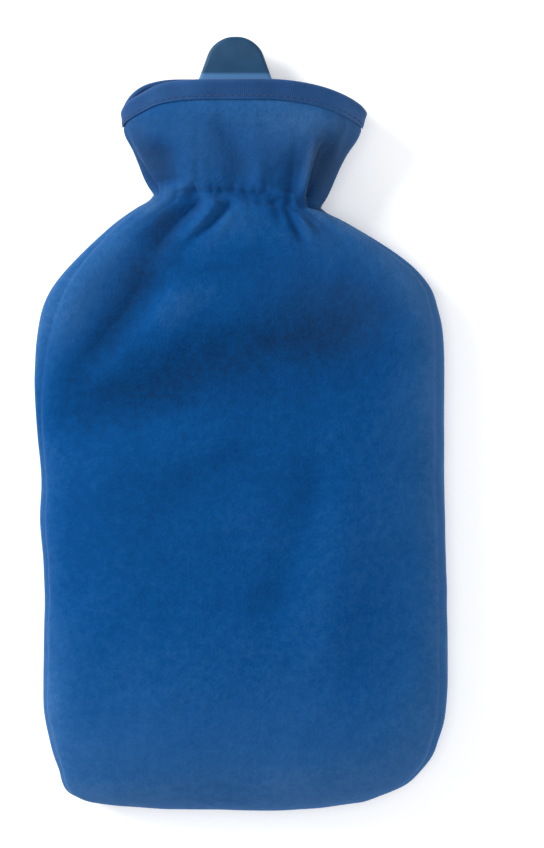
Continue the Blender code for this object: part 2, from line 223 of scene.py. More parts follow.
FRONT_CREASES = {
    "shoulder crease": Crease(
        ((-92, 196), (-78.5, 216), (-67, 230.5), (-57, 243), (-50, 254), (-46, 264), (-41, 275)),
        depth=7.2, left=13, right=14, sharpness=1.25, right_sharpness=2.6, start_width=0.45,
        start_fade=0.52, end_fade=0.30,
    ),
    "shoulder crease's head": Crease(
        ((-47, 259), (-42.8, 268.5), (-38.1, 276.5), (-33.2, 283), (-28.4, 288.4), (-23, 293.2),
         (-17, 297.6)),
        depth=6.4, left=6.4, right=3.8, sharpness=1.7, right_sharpness=1.5, start_width=1.5, start_fade=0.5,
        end_fade=0.14,
    ),
    "shoulder roll": Crease(
        ((-93, 225), (-80, 252), (-62, 272), (-40, 289)), depth=-2, left=8, right=7,
    ),
    "neck crease": Crease(
        ((-35, 267), (-28, 273), (-19.8, 279.4), (-12.4, 285.6), (-6.4, 291.6), (-2.4, 297)),
        depth=3, left=2.6, right=2.4, sharpness=1.5, start_fade=0.6, end_fade=0.12,
    ),
    "roll between the creases": Crease(
        ((-36, 267), (-25.2, 278.5), (-16.2, 288), (-10, 297)), depth=-2.9, left=3.4, right=2.7,
        start_fade=0.8, end_fade=0.12,
    ),
    "puff above the shoulder crease": Crease(
        ((-41, 298.6), (-33, 299.7), (-24, 300.2)), depth=-1.6, left=3, right=2.6, start_fade=0.3,
        end_fade=0.25,
    ),
    "elastic line": Crease(
        ((-17, 297), (-5, 298.9), (10, 295), (28, 292.6)), depth=1.3, left=2.2, right=2,
        start_fade=0.2, end_fade=0.3,
    ),
    "fan under the gathers": Crease(
        ((-14.5, 276), (-9, 284), (-4.5, 292)), depth=-1.2, left=2.6, right=4, start_fade=0.5,
        end_fade=0.2,
    ),
    "hollow under the gathers": Crease(
        ((7, 246), (2.5, 276)), depth=1, left=12, right=10, start_fade=0.5, end_fade=0.5,
        start_width=1.6,
    ),
    "first right pucker": Crease(
        ((19.5, 280), (16.8, 297)), depth=1.6, left=2.8, right=2.4, start_fade=0.5, end_fade=0.12,
    ),
    "second right pucker": Crease(
        ((32.6, 271), (28.4, 280), (23.6, 290), (20.6, 297)), depth=2.6, left=2.8, right=2.4,
        start_fade=0.4, end_fade=0.2,
    ),
    "right pucker's ridge": Crease(
        ((37, 277.5), (31, 284.5), (27, 290)), depth=-1.4, left=2.4, right=2.4, start_fade=0.4,
        end_fade=0.4,
    ),
    "third right pucker": Crease(
        ((42, 279), (34.5, 285), (29, 291.5), (26.5, 295)), depth=1.4, left=2.6, right=3,
        start_fade=0.5, end_fade=0.2,
    ),
    "right shade": Crease(
        ((56, 268), (44, 279), (32, 291)), depth=0.5, left=5, right=4, start_fade=0.5,
        end_fade=0.15,
    ),
    "chest swell": Crease(
        ((-52, 228), (-33, 243), (-16, 253)), depth=-2, left=9, right=13,
        start_fade=0.4, end_fade=0.4,
    ),
    "chest hollow": Crease(
        ((-96, 193), (-62, 200), (-38, 209), (-14, 218.5), (9, 226), (33, 230), (57, 234.5), (86, 241)),
        depth=5.2, left=19, right=15, sharpness=1.7, start_fade=0.12, end_fade=0.22,
    ),
    "hollow's lower edge": Crease(
        ((-94, 190), (-67, 190), (-43, 192), (-19, 198), (4, 207)),
        depth=1.4, left=12, right=5, start_fade=0.1, end_fade=0.5,
    ),
    "belly fold": Crease(
        ((-48, 138), (-38, 149), (-20, 162), (-2, 171.5), (16, 182)), depth=2.1,
        left=9, right=12, start_fade=0.35, end_fade=0.25,
    ),
    "long belly fold": Crease(
        ((6, 78), (18, 106), (28, 134), (36, 158), (46, 186)), depth=1.9, left=11, right=8,
    ),
    "belly ridge": Crease(
        ((34, 58), (44.5, 104), (55, 158)), depth=-1.4, left=10, right=11,
    ),
    "low right fold": Crease(
        ((66, 52), (74, 90), (84, 142)), depth=0.9, left=15, right=14,
    ),
    "collar's left valley": Crease(
        ((-35.5, 299), (-38, 312), (-41.5, 328)), depth=4.2, left=9, right=6.5,
        start_fade=0.2, end_fade=0.45,
    ),
    "collar's left ridge": Crease(
        ((-24, 297), (-24.5, 312), (-28, 328)), depth=-0.8, left=4.5, right=7,
        start_fade=0.2, end_fade=0.5,
    ),
    "collar's slanting valley": Crease(
        ((-2, 299), (-0.5, 312), (-4, 324), (-15.4, 338)), depth=2.6, left=6, right=6,
        start_fade=0.15, end_fade=0.4,
    ),
    "collar's middle ridge": Crease(
        ((8.9, 297), (10, 320)), depth=-1.5, left=5, right=5, start_fade=0.2, end_fade=0.5,
    ),
    "collar's right valley": Crease(
        ((26, 296.5), (29.2, 309), (32.6, 321)), depth=2.9, left=10, right=3,
        start_fade=0.12, end_fade=0.5,
    ),
    "collar's sharp ridge": Crease(
        ((29, 296.5), (32.2, 307), (34.8, 318), (36.4, 328)), depth=-1.9, left=2.6, right=2,
        start_fade=0.15, end_fade=0.4,
    ),
    "collar's deep fold": Crease(
        ((36.6, 290.5), (38, 299), (40.2, 309.5), (43.4, 320), (48, 331)), depth=8.6, left=4.9,
        right=3.8, sharpness=3.6, right_sharpness=2.4, start_fade=0.14, end_fade=0.42,
    ),
}


def fine_pucker(x: float, depth: float, long: float) -> Crease:
    """A short narrow crease that runs up from the elastic line, leaning a little outwards.

    Args:
        x: Where it starts, in mm.
        depth: How deep it is.
        long: How far up it reaches.

    Returns:
        The crease.
    """
    foot, splay = 297.6, 1.04
    return Crease(
        ((x, foot), (splay * x, foot + long)), depth=depth, left=1.5, right=1.2, sharpness=1.6,
        end_fade=0.6,
    )


FINE_PUCKERS = tuple(fine_pucker(*sizes) for sizes in (
    (-21.8, 1.5, 9.0), (-13.7, 1.0, 8.0), (-9.6, 1.0, 6.0), (-3.4, 1.3, 8.0), (1.8, 1.0, 6.5),
    (6.6, 1.2, 7.5), (12.0, 1.1, 10.0),
))


@dataclass(frozen=True)
class Gathers:
    """The puckers where the elastic draws the neck in, and the line that it presses into the cloth.

    Each pucker's depth, width and reach are the usual ones times a random number between two limits.
    shift and lean say how far it may lie off its even place, in shares of the spacing, and how much
    it may slant. line_swing is how much of the line's depth comes and goes round the neck, in waves
    of which line_turns are the counts. The cloth puffs out at puff_away above and below the line.
    """

    spacing: float = 7.6
    shift: float = 0.34
    lean: float = 0.16
    depth: float = 1.7
    depth_limits: tuple[float, float] = (0.15, 1.45)
    width_limits: tuple[float, float] = (0.18, 0.36)
    reach_up: float = 15.0
    reach_down: float = 12.0
    reach_limits: tuple[float, float] = (0.5, 1.6)
    reach_power: float = 1.5
    line_depth: float = 0.8
    line_reach: float = 2.4
    line_swing: float = 0.45
    line_turns: tuple[int, ...] = (5, 8, 13, 21)
    puff: float = 0.5
    puff_away: float = 6.5
    seed: int = 11

    def depth_at(self, girth: np.ndarray, full_girth: float, rise: np.ndarray) -> np.ndarray:
        """How deep the puckers are.

        Args:
            girth: The way round the neck to each point, in mm.
            full_girth: The whole way round the neck.
            rise: How far each point is above the gathered line.

        Returns:
            The depth in mm at each point, under 0 on the puffs above and below the line.
        """
        random = np.random.default_rng(self.seed)
        count = round(full_girth / self.spacing)
        swing = sum(np.sin(2.0 * math.pi * (turns * girth / full_girth + random.uniform()))
                    for turns in self.line_turns) / math.sqrt(2.0 * len(self.line_turns))
        line = self.line_depth * (1.0 - self.line_swing + self.line_swing * swing)
        depth = line * np.exp(-((rise / self.line_reach) ** 2))
        depth -= self.puff * np.exp(-(((np.abs(rise) - self.puff_away) / self.puff_away) ** 2))
        for pucker in range(count):
            middle = (pucker + random.uniform(-self.shift, self.shift)) * full_girth / count
            deep = self.depth * random.uniform(*self.depth_limits)
            wide = self.spacing * random.uniform(*self.width_limits)
            up = self.reach_up * random.uniform(*self.reach_limits)
            down = self.reach_down * random.uniform(*self.reach_limits)
            aside = girth - middle - random.uniform(-self.lean, self.lean) * rise
            aside -= full_girth * np.round(aside / full_girth)
            fade = np.exp(-((np.abs(rise) / np.where(rise > 0.0, up, down)) ** self.reach_power))
            depth += deep * np.exp(-((aside / wide) ** 2)) * fade
        return depth


@dataclass(frozen=True)
class Waves:
    """The slight unevenness of soft cloth: low waves of several lengths that run in many directions."""

    height: float
    wave: float
    seed: int
    count: int = 16
    wave_limits: tuple[float, float] = (0.6, 1.6)

    def depth_at(self, x: np.ndarray, along: np.ndarray) -> np.ndarray:
        """How deep the waves are at points seen from above.

        Args:
            x: The points' x, in mm.
            along: The points' height along the object, in mm.

        Returns:
            The depth in mm at each point.
        """
        random = np.random.default_rng(self.seed)
        depth = np.zeros(x.shape)
        for _ in range(self.count):
            heading, start = random.uniform(0.0, 2.0 * math.pi, 2)
            turn = 2.0 * math.pi / (self.wave * random.uniform(*self.wave_limits))
            depth += np.sin(turn * (x * math.cos(heading) + along * math.sin(heading)) + start)
        return depth * self.height / math.sqrt(self.count)


class RimBump(NamedTuple):
    """A place of the rim, by x in mm, where its front or its back stands higher or lower."""

    x: float
    reach: float
    front: float
    back: float


class Cloth(NamedTuple):
    """Points of the cover's outer face: the smooth form, the way out of it, and the depth below it."""

    smooth: np.ndarray
    outward: np.ndarray
    depth: np.ndarray


@dataclass(frozen=True)
class CoverForm:
    """The shape in which the cover lies on the filled bottle, in mm.

    A point is named by its angle round the cover, 0 on the right side and 90 degrees in the middle
    of the front, and by its height along the object. Creases are there only where the cloth faces up:
    not at all where its way out rises by less than facing_start, and fully from facing_end on. The
    seat is the groove that the binding is pulled into.
    """

    length: float = 376.0
    thickness: float = 2.2

    bottom_along: float = 4.0
    bottom_bow_fade: float = 45.0
    bottom_bow_power: float = 1.5
    bottom_rounding: float = 36.0

    neck_along: float = 295.6
    neck_slant: float = 3.1
    neck_arch: float = 2.4
    neck_fade: float = 26.0

    rim_along: float = 337.6
    front_rim_arch: float = 14.8
    back_rim_arch: float = 16.6
    front_rim_fullness: float = -0.15
    back_rim_fullness: float = 0.15
    rim_fullness_swing: float = 0.45
    rim_corner_rounding: float = 0.12
    rim_bump_growth: float = 3.0
    rim_bumps: tuple[RimBump, ...] = (
        RimBump(-2.0, 26.0, -2.0, 0.0),
        RimBump(-50.0, 8.0, -1.8, 0.9),
        RimBump(-38.0, 12.0, 0.0, 1.4),
        RimBump(30.0, 16.0, -0.5, -0.6),
    )

    front_squareness: float = 2.4
    back_squareness: float = 3.4
    collar_squareness: float = 2.2
    floor_softness: float = 0.8

    binding_leg: float = 6.6
    seat_depth: float = 0.8
    seat_edge: float = 1.1
    seat_puff: float = 0.5
    seat_puff_reach: float = 4.4

    gathers: Gathers = Gathers()
    front_waves: tuple[Waves, ...] = (Waves(0.34, 62.0, 3), Waves(0.16, 24.0, 5))
    back_waves: tuple[Waves, ...] = (Waves(0.30, 55.0, 8), Waves(0.16, 24.0, 9))
    facing_start: float = -0.1
    facing_end: float = 0.3

    turn_step: float = 0.004
    along_step: float = 0.4
    girth_steps: int = 1440

    def section_at(self, along: np.ndarray) -> Section:
        """The sections at these heights, on smooth curves through the rows of the tables.

        Args:
            along: Heights on the side seam.

        Returns:
            A section whose values are one for each height.
        """
        along = np.clip(along, self.bottom_along, self.rim_along)
        tables = [np.array(table, float) for table in (BODY_SECTIONS, COLLAR_SECTIONS)]
        body, collar = (curve_through(table[:, 0], table, along) for table in tables)
        return Section(*np.moveaxis(np.where((along <= self.neck_along)[..., None], body, collar), -1, 0))

    def rim_rise(self, turn: np.ndarray, height: np.ndarray) -> np.ndarray:
        """How much higher the rim stands than at the sides of the collar.

        Args:
            turn: The cosine of each point's angle.
            height: The sine of each point's angle.

        Returns:
            The rise in mm at each point.
        """
        corner = self.rim_corner_rounding
        side = (np.hypot(height, corner) - corner) / (math.hypot(1.0, corner) - corner)
        front = height >= 0.0
        arch = np.where(front, self.front_rim_arch, self.back_rim_arch)
        fullness = np.where(front, self.front_rim_fullness, self.back_rim_fullness)
        fullness = fullness - self.rim_fullness_swing * turn
        return arch * side * (1.0 + fullness * (1.0 - side))

    def points(self, angle: np.ndarray, along: np.ndarray) -> np.ndarray:
        """Points of the smooth outer face.

        Args:
            angle: The points' angles in radians.
            along: Their heights on the side seam.

        Returns:
            x, height along the object and height above the floor, in the last axis.
        """
        section = self.section_at(along)
        turn, height = np.cos(angle), np.sin(angle)
        front = height >= 0.0
        neck = smooth_step((along - self.neck_along + self.neck_fade) / self.neck_fade)
        square = np.where(front, self.front_squareness, self.back_squareness)
        power = 2.0 / (square + (self.collar_squareness - square) * neck)
        across = np.abs(turn) ** power
        x = np.where(turn >= 0.0, section.right, section.left) * np.sign(turn) * across

        up = np.clip((along - self.bottom_along) / self.bottom_rounding, 0.0, 1.0)
        lift = np.sqrt(1.0 - (1.0 - up) ** 2) * np.abs(height) ** power
        bow = 1.0 - smooth_step((along - self.bottom_along) / self.bottom_bow_fade)
        to_rim = smooth_step((along - self.neck_along) / (self.rim_along - self.neck_along))
        y = along - self.bottom_along * bow * (1.0 - across**self.bottom_bow_power)
        y += neck * (1.0 - to_rim) * (self.neck_arch * np.abs(height) - self.neck_slant * turn)
        y += to_rim * self.rim_rise(turn, height)
        from_side = np.minimum(1.0, self.rim_bump_growth * np.abs(height))
        for bump in self.rim_bumps:
            rise = np.where(front, bump.front, bump.back) * from_side
            y += to_rim * rise * np.exp(-(((x - bump.x) / bump.reach) ** 2))

        sunk = section.middle - section.sink * lift
        pressed = (sunk + np.hypot(sunk, self.floor_softness)) / 2.0
        z = np.where(front, section.middle + section.rise * lift, pressed)
        return np.stack([x, y, z], axis=-1)

    def outward(self, angle: np.ndarray, along: np.ndarray) -> np.ndarray:
        """The way out of the smooth outer face.

        Args:
            angle: The points' angles in radians.
            along: Their heights on the side seam.

        Returns:
            A direction of length 1 for each point, in the last axis.
        """
        beside = np.maximum(along, self.bottom_along + self.along_step)
        behind, ahead = (self.points(angle + step, beside) for step in (-self.turn_step, self.turn_step))
        low = np.clip(along - self.along_step, self.bottom_along, None)
        high = np.clip(along + self.along_step, None, self.rim_along)
        out = np.cross(self.points(angle, high) - self.points(angle, low), ahead - behind)
        return out / np.linalg.norm(out, axis=-1)[..., None]

    def seam_angles(self, along: np.ndarray) -> tuple[np.ndarray, np.ndarray]:
        """The angles of the right and of the left side seam at these heights."""
        section = self.section_at(along)
        return np.radians(section.seam_right), math.pi - np.radians(section.seam_left)

    def girth_table(self, along: float) -> tuple[np.ndarray, np.ndarray]:
        """Angles round the whole cover at one height, and the way round to each in mm."""
        angle = np.linspace(0.0, 2.0 * math.pi, self.girth_steps + 1)
        return angle, run_length(self.points(angle, np.full(angle.shape, along)), 0)

    def seat_at(self, along: np.ndarray) -> np.ndarray:
        """How deep the binding is pulled into the cloth, with a puff of cloth under its lower edge.

        Args:
            along: Heights on the side seam.

        Returns:
            The depth in mm, under 0 on the puff.
        """
        over_edge = along - (self.rim_along - self.binding_leg)
        seat = self.seat_depth * smooth_step(over_edge / self.seat_edge + 0.5)
        from_puff = (over_edge + self.seat_puff_reach) / self.seat_puff_reach
        return seat - self.seat_puff * np.exp(-(from_puff**2))

    def cloth_at(self, angle: np.ndarray, along: np.ndarray) -> Cloth:
        """The cloth with its creases, gathers and waves.

        Args:
            angle: The points' angles in radians.
            along: Their heights on the side seam.

        Returns:
            The smooth form's points, the way out of it, and how deep the cloth lies under it.
        """
        smooth, outward = self.points(angle, along), self.outward(angle, along)
        x, y = smooth[..., 0], smooth[..., 1]
        angles, way_round = self.girth_table(self.neck_along)
        girth = np.interp(np.mod(angle, 2.0 * math.pi), angles, way_round)
        depth = self.gathers.depth_at(girth, way_round[-1], along - self.neck_along)
        facing = smooth_step((outward[..., 2] - self.facing_start) / (self.facing_end - self.facing_start))
        for crease in (*FRONT_CREASES.values(), *FINE_PUCKERS):
            depth += facing * crease.depth_at(x, y)
        for waves in self.front_waves:
            depth += facing * waves.depth_at(x, y)
        depth += self.seat_at(along)
        backing = smooth_step(-outward[..., 2])
        for waves in self.back_waves:
            depth += backing * np.abs(waves.depth_at(x, y))
        return Cloth(smooth, outward, depth)

    def in_frame(self, points: np.ndarray) -> np.ndarray:
        """The points in metres of the frame, counted from the middle of the object's length."""
        return (points - np.array([0.0, self.length / 2.0, 0.0])) * MM


# --- Materials -----------------------------------------------------------------------------------

# Soft noise lies mostly between these two values, so a ramp of two colours runs from one to the other.
NOISE_LOW = 0.35
NOISE_HIGH = 0.65


class NodePlan:
    """The nodes of one material, added one by one to its shader."""

    def __init__(self, name: str) -> None:
        """Starts a material.

        Args:
            name: The material's name.
        """
        self.material = bpy.data.materials.new(name)
        self.material.use_nodes = True
        self.tree = self.material.node_tree
        self.shader = self.tree.nodes["Principled BSDF"]

    def set(self, node: bpy.types.Node, values: dict[str | int, object]) -> None:
        """Sets a node's inputs, by name or number.

        Args:
            node: The node.
            values: For each input a value, or the other node's output.
        """
        for name, value in values.items():
            if isinstance(value, bpy.types.NodeSocket):
                self.tree.links.new(value, node.inputs[name])
            else:
                node.inputs[name].default_value = value

    def add(self, kind: str, values: dict[str | int, object], **settings: object) -> bpy.types.Node:
        """Adds a node of this kind.

        Args:
            kind: Blender's name for the node.
            values: Its inputs.
            settings: Its other settings.

        Returns:
            The new node.
        """
        node = self.tree.nodes.new(kind)
        for name, value in settings.items():
            setattr(node, name, value)
        self.set(node, values)
        return node

    def place(self) -> bpy.types.NodeSocket:
        """The place on the piece, in metres of the frame."""
        return self.add("ShaderNodeTexCoord", {}).outputs["Object"]

    def attribute(self, name: str) -> bpy.types.NodeSocket:
        """A value that the mesh holds for each of its points."""
        return self.add("ShaderNodeAttribute", {}, attribute_name=name).outputs["Fac"]

    def noise(self, coordinates: bpy.types.NodeSocket, feature: float, detail: float,
              roughness: float = 0.55) -> bpy.types.NodeSocket:
        """Soft noise whose features are this many metres apart."""
        values = {"Vector": coordinates, "Scale": 1.0 / feature, "Detail": detail, "Roughness": roughness}
        return self.add("ShaderNodeTexNoise", values).outputs["Fac"]

    def sum(self, *parts: tuple[bpy.types.NodeSocket, float]) -> bpy.types.NodeSocket:
        """The sum of several values, each times its share.

        Args:
            parts: Each value with its share.

        Returns:
            The sum's output.
        """
        total: object = 0.0
        for value, share in parts:
            terms = {0: value, 1: share, 2: total}
            total = self.add("ShaderNodeMath", terms, operation="MULTIPLY_ADD").outputs[0]
        return total

    def ramp(self, value: bpy.types.NodeSocket, stops: tuple[tuple[float, Colour], ...]
             ) -> bpy.types.NodeSocket:
        """Colours along a scale from 0 to 1.

        Args:
            value: The place on the scale.
            stops: Places on the scale with their colours, rising.

        Returns:
            The colour's output.
        """
        node = self.add("ShaderNodeValToRGB", {"Fac": value})
        elements = node.color_ramp.elements
        while len(elements) < len(stops):
            elements.new(0.5)
        for element, (position, colour) in zip(elements, stops):
            element.position, element.color = position, colour
        return node.outputs["Color"]

    def mix(self, share: bpy.types.NodeSocket, first: bpy.types.NodeSocket, second: Colour
            ) -> bpy.types.NodeSocket:
        """Mixes two colours.

        Args:
            share: How much of the second colour there is.
            first: The first colour.
            second: The second colour.

        Returns:
            The mixed colour's output.
        """
        node = self.add("ShaderNodeMix", {"Factor": share}, data_type="RGBA")
        colours = [socket for socket in node.inputs if socket.type == "RGBA"]
        self.tree.links.new(first, colours[0])
        colours[1].default_value = second
        return next(socket for socket in node.outputs if socket.type == "RGBA")

    def bump(self, height: bpy.types.NodeSocket, depth: float) -> bpy.types.NodeSocket:
        """A surface that looks as uneven as this height, whose range of 1 is this deep in metres."""
        values = {"Height": height, "Distance": depth, "Strength": 1.0}
        return self.add("ShaderNodeBump", values).outputs["Normal"]


class Patch(NamedTuple):
    """A soft-edged patch of the cloth as seen from above, in mm and degrees."""

    x: float
    along: float
    reach_x: float
    reach_along: float
    turn: float
    share: float

    def share_at(self, points: np.ndarray) -> np.ndarray:
        """How much the patch counts.

        Args:
            points: x and height along the object in mm, first in the last axis.

        Returns:
            The share at each point.
        """
        off_x, off_y = points[..., 0] - self.x, points[..., 1] - self.along
        turn = math.radians(self.turn)
        across = (off_x * math.cos(turn) + off_y * math.sin(turn)) / self.reach_x
        up = (off_y * math.cos(turn) - off_x * math.sin(turn)) / self.reach_along
        return self.share * np.exp(-(across**2) - up**2)


def patches(*rows: tuple[float, ...]) -> tuple[Patch, ...]:
    """Patches from their rows of numbers."""
    return tuple(Patch(*row) for row in rows)


# Painted light and shade on the fleece: lighter patches paint sheen along the sides and the bottom and
# light on the collar and on lit slopes of creases; darker ones paint shade in creases and on slopes turned
# from the light.
PAINTED_LIGHT_AND_SHADE = patches(
    (0, 4, 160, 48, 0, 0.80), (-98, 100, 9, 120, 0, 0.50), (-96, 192, 7, 15, 0, -0.60),
    (-90, 60, 9, 50, 0, 0.35), (-62, 62, 32, 20, 0, 0.28), (-62, 30, 36, 14, 0, 0.26),
    (-62, 8, 34, 9, 0, 0.30), (-64, 124, 28, 24, 0, -0.28), (-52, 158, 22, 18, 0, -0.22),
    (-82, 236, 12, 16, -30, 0.40), (-76, 8, 14, 9, 0, 0.35), (-55, 192, 30, 10, 0, 0.22),
    (105, 150, 15, 150, 0, 1.20), (102, 218, 20, 44, 0, 0.65), (84, 120, 22, 130, 0, 0.46),
    (84, 40, 26, 34, 0, 0.30), (66, 8, 50, 20, 0, 0.35), (-78, 258, 15, 44, -42, 0.80),
    (80, 262, 15, 50, 45, 1.25), (36, 246, 44, 26, 0, -0.32), (8, 206, 32, 26, 0, -0.24),
    (0, 288, 90, 16, 0, 0.30), (22, 291, 9.5, 6, 0, -0.50), (38, 290, 6, 6, 0, 0.30),
    (43, 271, 8, 8, 0, 0.30), (-46, 268, 10, 24, -38, -0.35), (-14, 262, 26, 9, 12, -0.30),
    (4, 214, 80, 18, 18, -0.20), (-26, 246, 18, 9, 24, 0.45), (8, 341, 60, 15, 0, 0.90),
    (24, 329, 38, 9, 0, 0.40), (36, 332, 14, 7, 0, 0.55), (-38, 329, 14, 5, 0, 0.35),
    (-30, 300, 8, 5, 20, 0.75), (-38, 287.6, 5.5, 12, -50, -0.90), (-50, 263, 12, 7, 0, -0.25),
    (-31, 271, 8, 7, 30, -0.45), (-5, 284.5, 6, 10, -40, 0.35), (-20, 318, 12, 13, 0, 0.35),
    (-38, 313, 9, 14, 14, -0.85), (-47, 312, 5, 16, 16, -0.60), (-43, 293, 6, 7, -50, 1.00),
    (50, 285, 9, 4, -35, 0.80), (0, 306, 36, 12, 0, -0.15), (53, 330, 6, 14, -20, 0.80),
    (44, 307, 5, 15, -20, 1.00),
)
# Painted grey: patches on the collar, its folds and the shoulders paint shade; the one along the bottom
# paints a haze.
PAINTED_GREY_SHADE_AND_HAZE = patches(
    (35, 316, 4.5, 13, -13, 0.45), (41, 305, 5, 18, -17, 0.25), (0, 320, 80, 22, 0, 0.30),
    (-49, 316, 9, 28, 19, 0.40), (47, 314, 10, 28, -20, 0.60), (60, 250, 40, 26, 0, 0.20),
    (-64, 258, 14, 36, -38, 0.20), (0, 4, 160, 40, 0, 0.20),
)
# Painted light on the binding strip, at the left of the mouth and at its right end.
BINDING_PAINTED_LIGHT = patches(
    (-34, 346, 22, 16, 0, 0.40), (53, 336, 12, 14, 0, 1.10),
)


@dataclass(frozen=True)
class FleeceFinish:
    """Brushed royal blue fleece: a short soft pile, slightly uneven, lighter at a grazing angle.

    The mesh says by one attribute where light and shade are painted on the cloth, by its dull attribute
    where a greyer colour paints shade in folds and a haze along the bottom, and by its hollow attribute
    where the cloth lies deep, which darkens it there as painted shade. The colours belong to shades from
    0, the deepest, up.
    """

    name: str = "blue_fleece"
    # The deepest and the lightest colours are reached mostly through painted light and shade.
    colours: tuple[tuple[float, Colour], ...] = (
        (0.00, (0.0030, 0.018, 0.060, 1.0)),
        (0.25, (0.0011, 0.036, 0.132, 1.0)),
        (0.50, (0.0015, 0.054, 0.197, 1.0)),
        (0.80, (0.0120, 0.081, 0.242, 1.0)),
        (1.00, (0.0290, 0.110, 0.288, 1.0)),
        (1.35, (0.0390, 0.130, 0.322, 1.0)),
    )
    # A greyer blue, for painted shade in folds and a painted haze along the bottom.
    dull: Colour = (0.029, 0.067, 0.150, 1.0)
    roughness: float = 0.95
    sheen: float = 0.22
    sheen_roughness: float = 0.38
    sheen_tint: Colour = (0.34, 0.62, 1.0, 1.0)
    patch: float = 0.045
    patch_share: float = 0.30
    tuft: float = 0.0040
    tuft_share: float = 0.36
    pile: float = 0.0013
    pile_share: float = 0.34
    # How much the painted light and shade count in the colour.
    painted_light_share: float = 0.35
    # Painted shade: the colour darkens where the cloth lies deep.
    painted_crease_shade: float = -0.12
    pile_height: float = 0.6
    tuft_height: float = 0.8
    pile_depth: float = 0.0006

    def material(self) -> bpy.types.Material:
        """Makes the material.

        Returns:
            The material, with its mottled colour, sheen and pile.
        """
        plan = NodePlan(self.name)
        place = plan.place()
        soft = plan.noise(place, self.patch, detail=3.0)
        tufts = plan.noise(place, self.tuft, detail=3.0, roughness=0.6)
        pile = plan.noise(place, self.pile, detail=3.0, roughness=0.65)
        # Painted light and shade, painted grey shade and haze, and the depth that paints shade in deep
        # places.
        painted_light, dull, hollow = (plan.attribute(name) for name in ("painted_light", "dull", "hollow"))
        shade = plan.sum((soft, self.patch_share), (tufts, self.tuft_share), (pile, self.pile_share),
                         (painted_light, self.painted_light_share), (hollow, self.painted_crease_shade))
        lightest = self.colours[-1][0]
        stops = tuple((position / lightest, colour) for position, colour in self.colours)
        colour = plan.ramp(plan.sum((shade, 1.0 / lightest)), stops)
        plan.set(plan.shader, {
            # The greyer colour is painted shade in folds and a painted haze along the bottom.
            "Base Color": plan.mix(dull, colour, self.dull),
            "Roughness": self.roughness,
            "Specular IOR Level": 0.05,
            "Sheen Weight": self.sheen,
            "Sheen Roughness": self.sheen_roughness,
            "Sheen Tint": self.sheen_tint,
            "Normal": plan.bump(
                plan.sum((pile, self.pile_height), (tufts, self.tuft_height)), self.pile_depth),
        })
        return plan.material


@dataclass(frozen=True)
class BindingFinish:
    """A soft knitted tape in a darker blue, with fine ribs across the strip.

    The mesh says by one attribute where light is painted on the tape.
    """

    name: str = "blue_binding"
    deep: Colour = (0.0072, 0.039, 0.126, 1.0)
    light: Colour = (0.0155, 0.068, 0.198, 1.0)
    # The colour of painted light on the tape.
    painted_light_colour: Colour = (0.040, 0.105, 0.262, 1.0)
    roughness: float = 0.88
    sheen: float = 0.22
    sheen_tint: Colour = (0.42, 0.58, 1.0, 1.0)
    rib: float = 0.0009
    rib_scale: float = 0.31
    rib_share: float = 0.1
    rib_height: float = 0.6
    rib_depth: float = 0.00016
    fuzz: float = 0.0008
    fuzz_share: float = 0.4
    fuzz_height: float = 0.8
    patch: float = 0.02
    patch_share: float = 0.5
    painted_light_share: float = 0.35

    def material(self) -> bpy.types.Material:
        """Makes the material. Its ribs follow the strip by its own UV map, which is in metres.

        Returns:
            The material, with its painted light and its ribs.
        """
        plan = NodePlan(self.name)
        coordinates = plan.add("ShaderNodeTexCoord", {})
        place, strip = coordinates.outputs["Object"], coordinates.outputs["UV"]
        ribs = plan.add(
            "ShaderNodeTexWave", {"Vector": strip, "Scale": self.rib_scale / self.rib, "Distortion": 0.6},
            bands_direction="X",
        ).outputs["Fac"]
        fuzz = plan.noise(place, self.fuzz, detail=3.0, roughness=0.65)
        soft = plan.noise(place, self.patch, detail=2.0)
        # Painted light from the mesh lifts the tape towards its lightest colour.
        shade = plan.sum((soft, self.patch_share), (fuzz, self.fuzz_share), (ribs, self.rib_share),
                         (plan.attribute("painted_light"), self.painted_light_share))
        plan.set(plan.shader, {
            "Base Color": plan.ramp(shade, ((0.30, self.deep), (0.70, self.light), (1.00, self.painted_light_colour))),
            "Roughness": self.roughness,
            "Specular IOR Level": 0.15,
            "Sheen Weight": self.sheen,
            "Sheen Roughness": 0.45,
            "Sheen Tint": self.sheen_tint,
            "Normal": plan.bump(
                plan.sum((ribs, self.rib_height), (fuzz, self.fuzz_height)), self.rib_depth),
        })
        return plan.material


@dataclass(frozen=True)
class ThreadFinish:
    """Blue sewing thread, slightly glossy."""

    name: str = "blue_thread"
    deep: Colour = (0.007, 0.030, 0.100, 1.0)
    light: Colour = (0.014, 0.050, 0.150, 1.0)
    roughness: float = 0.75
    twist: float = 0.0004

    def material(self) -> bpy.types.Material:
        """Makes the material.

        Returns:
            The material, with its colour and twist.
        """
        plan = NodePlan(self.name)
        twist = plan.noise(plan.place(), self.twist, detail=1.0)
        plan.set(plan.shader, {
            "Base Color": plan.ramp(twist, ((NOISE_LOW, self.deep), (NOISE_HIGH, self.light))),
            "Roughness": self.roughness,
        })
        return plan.material


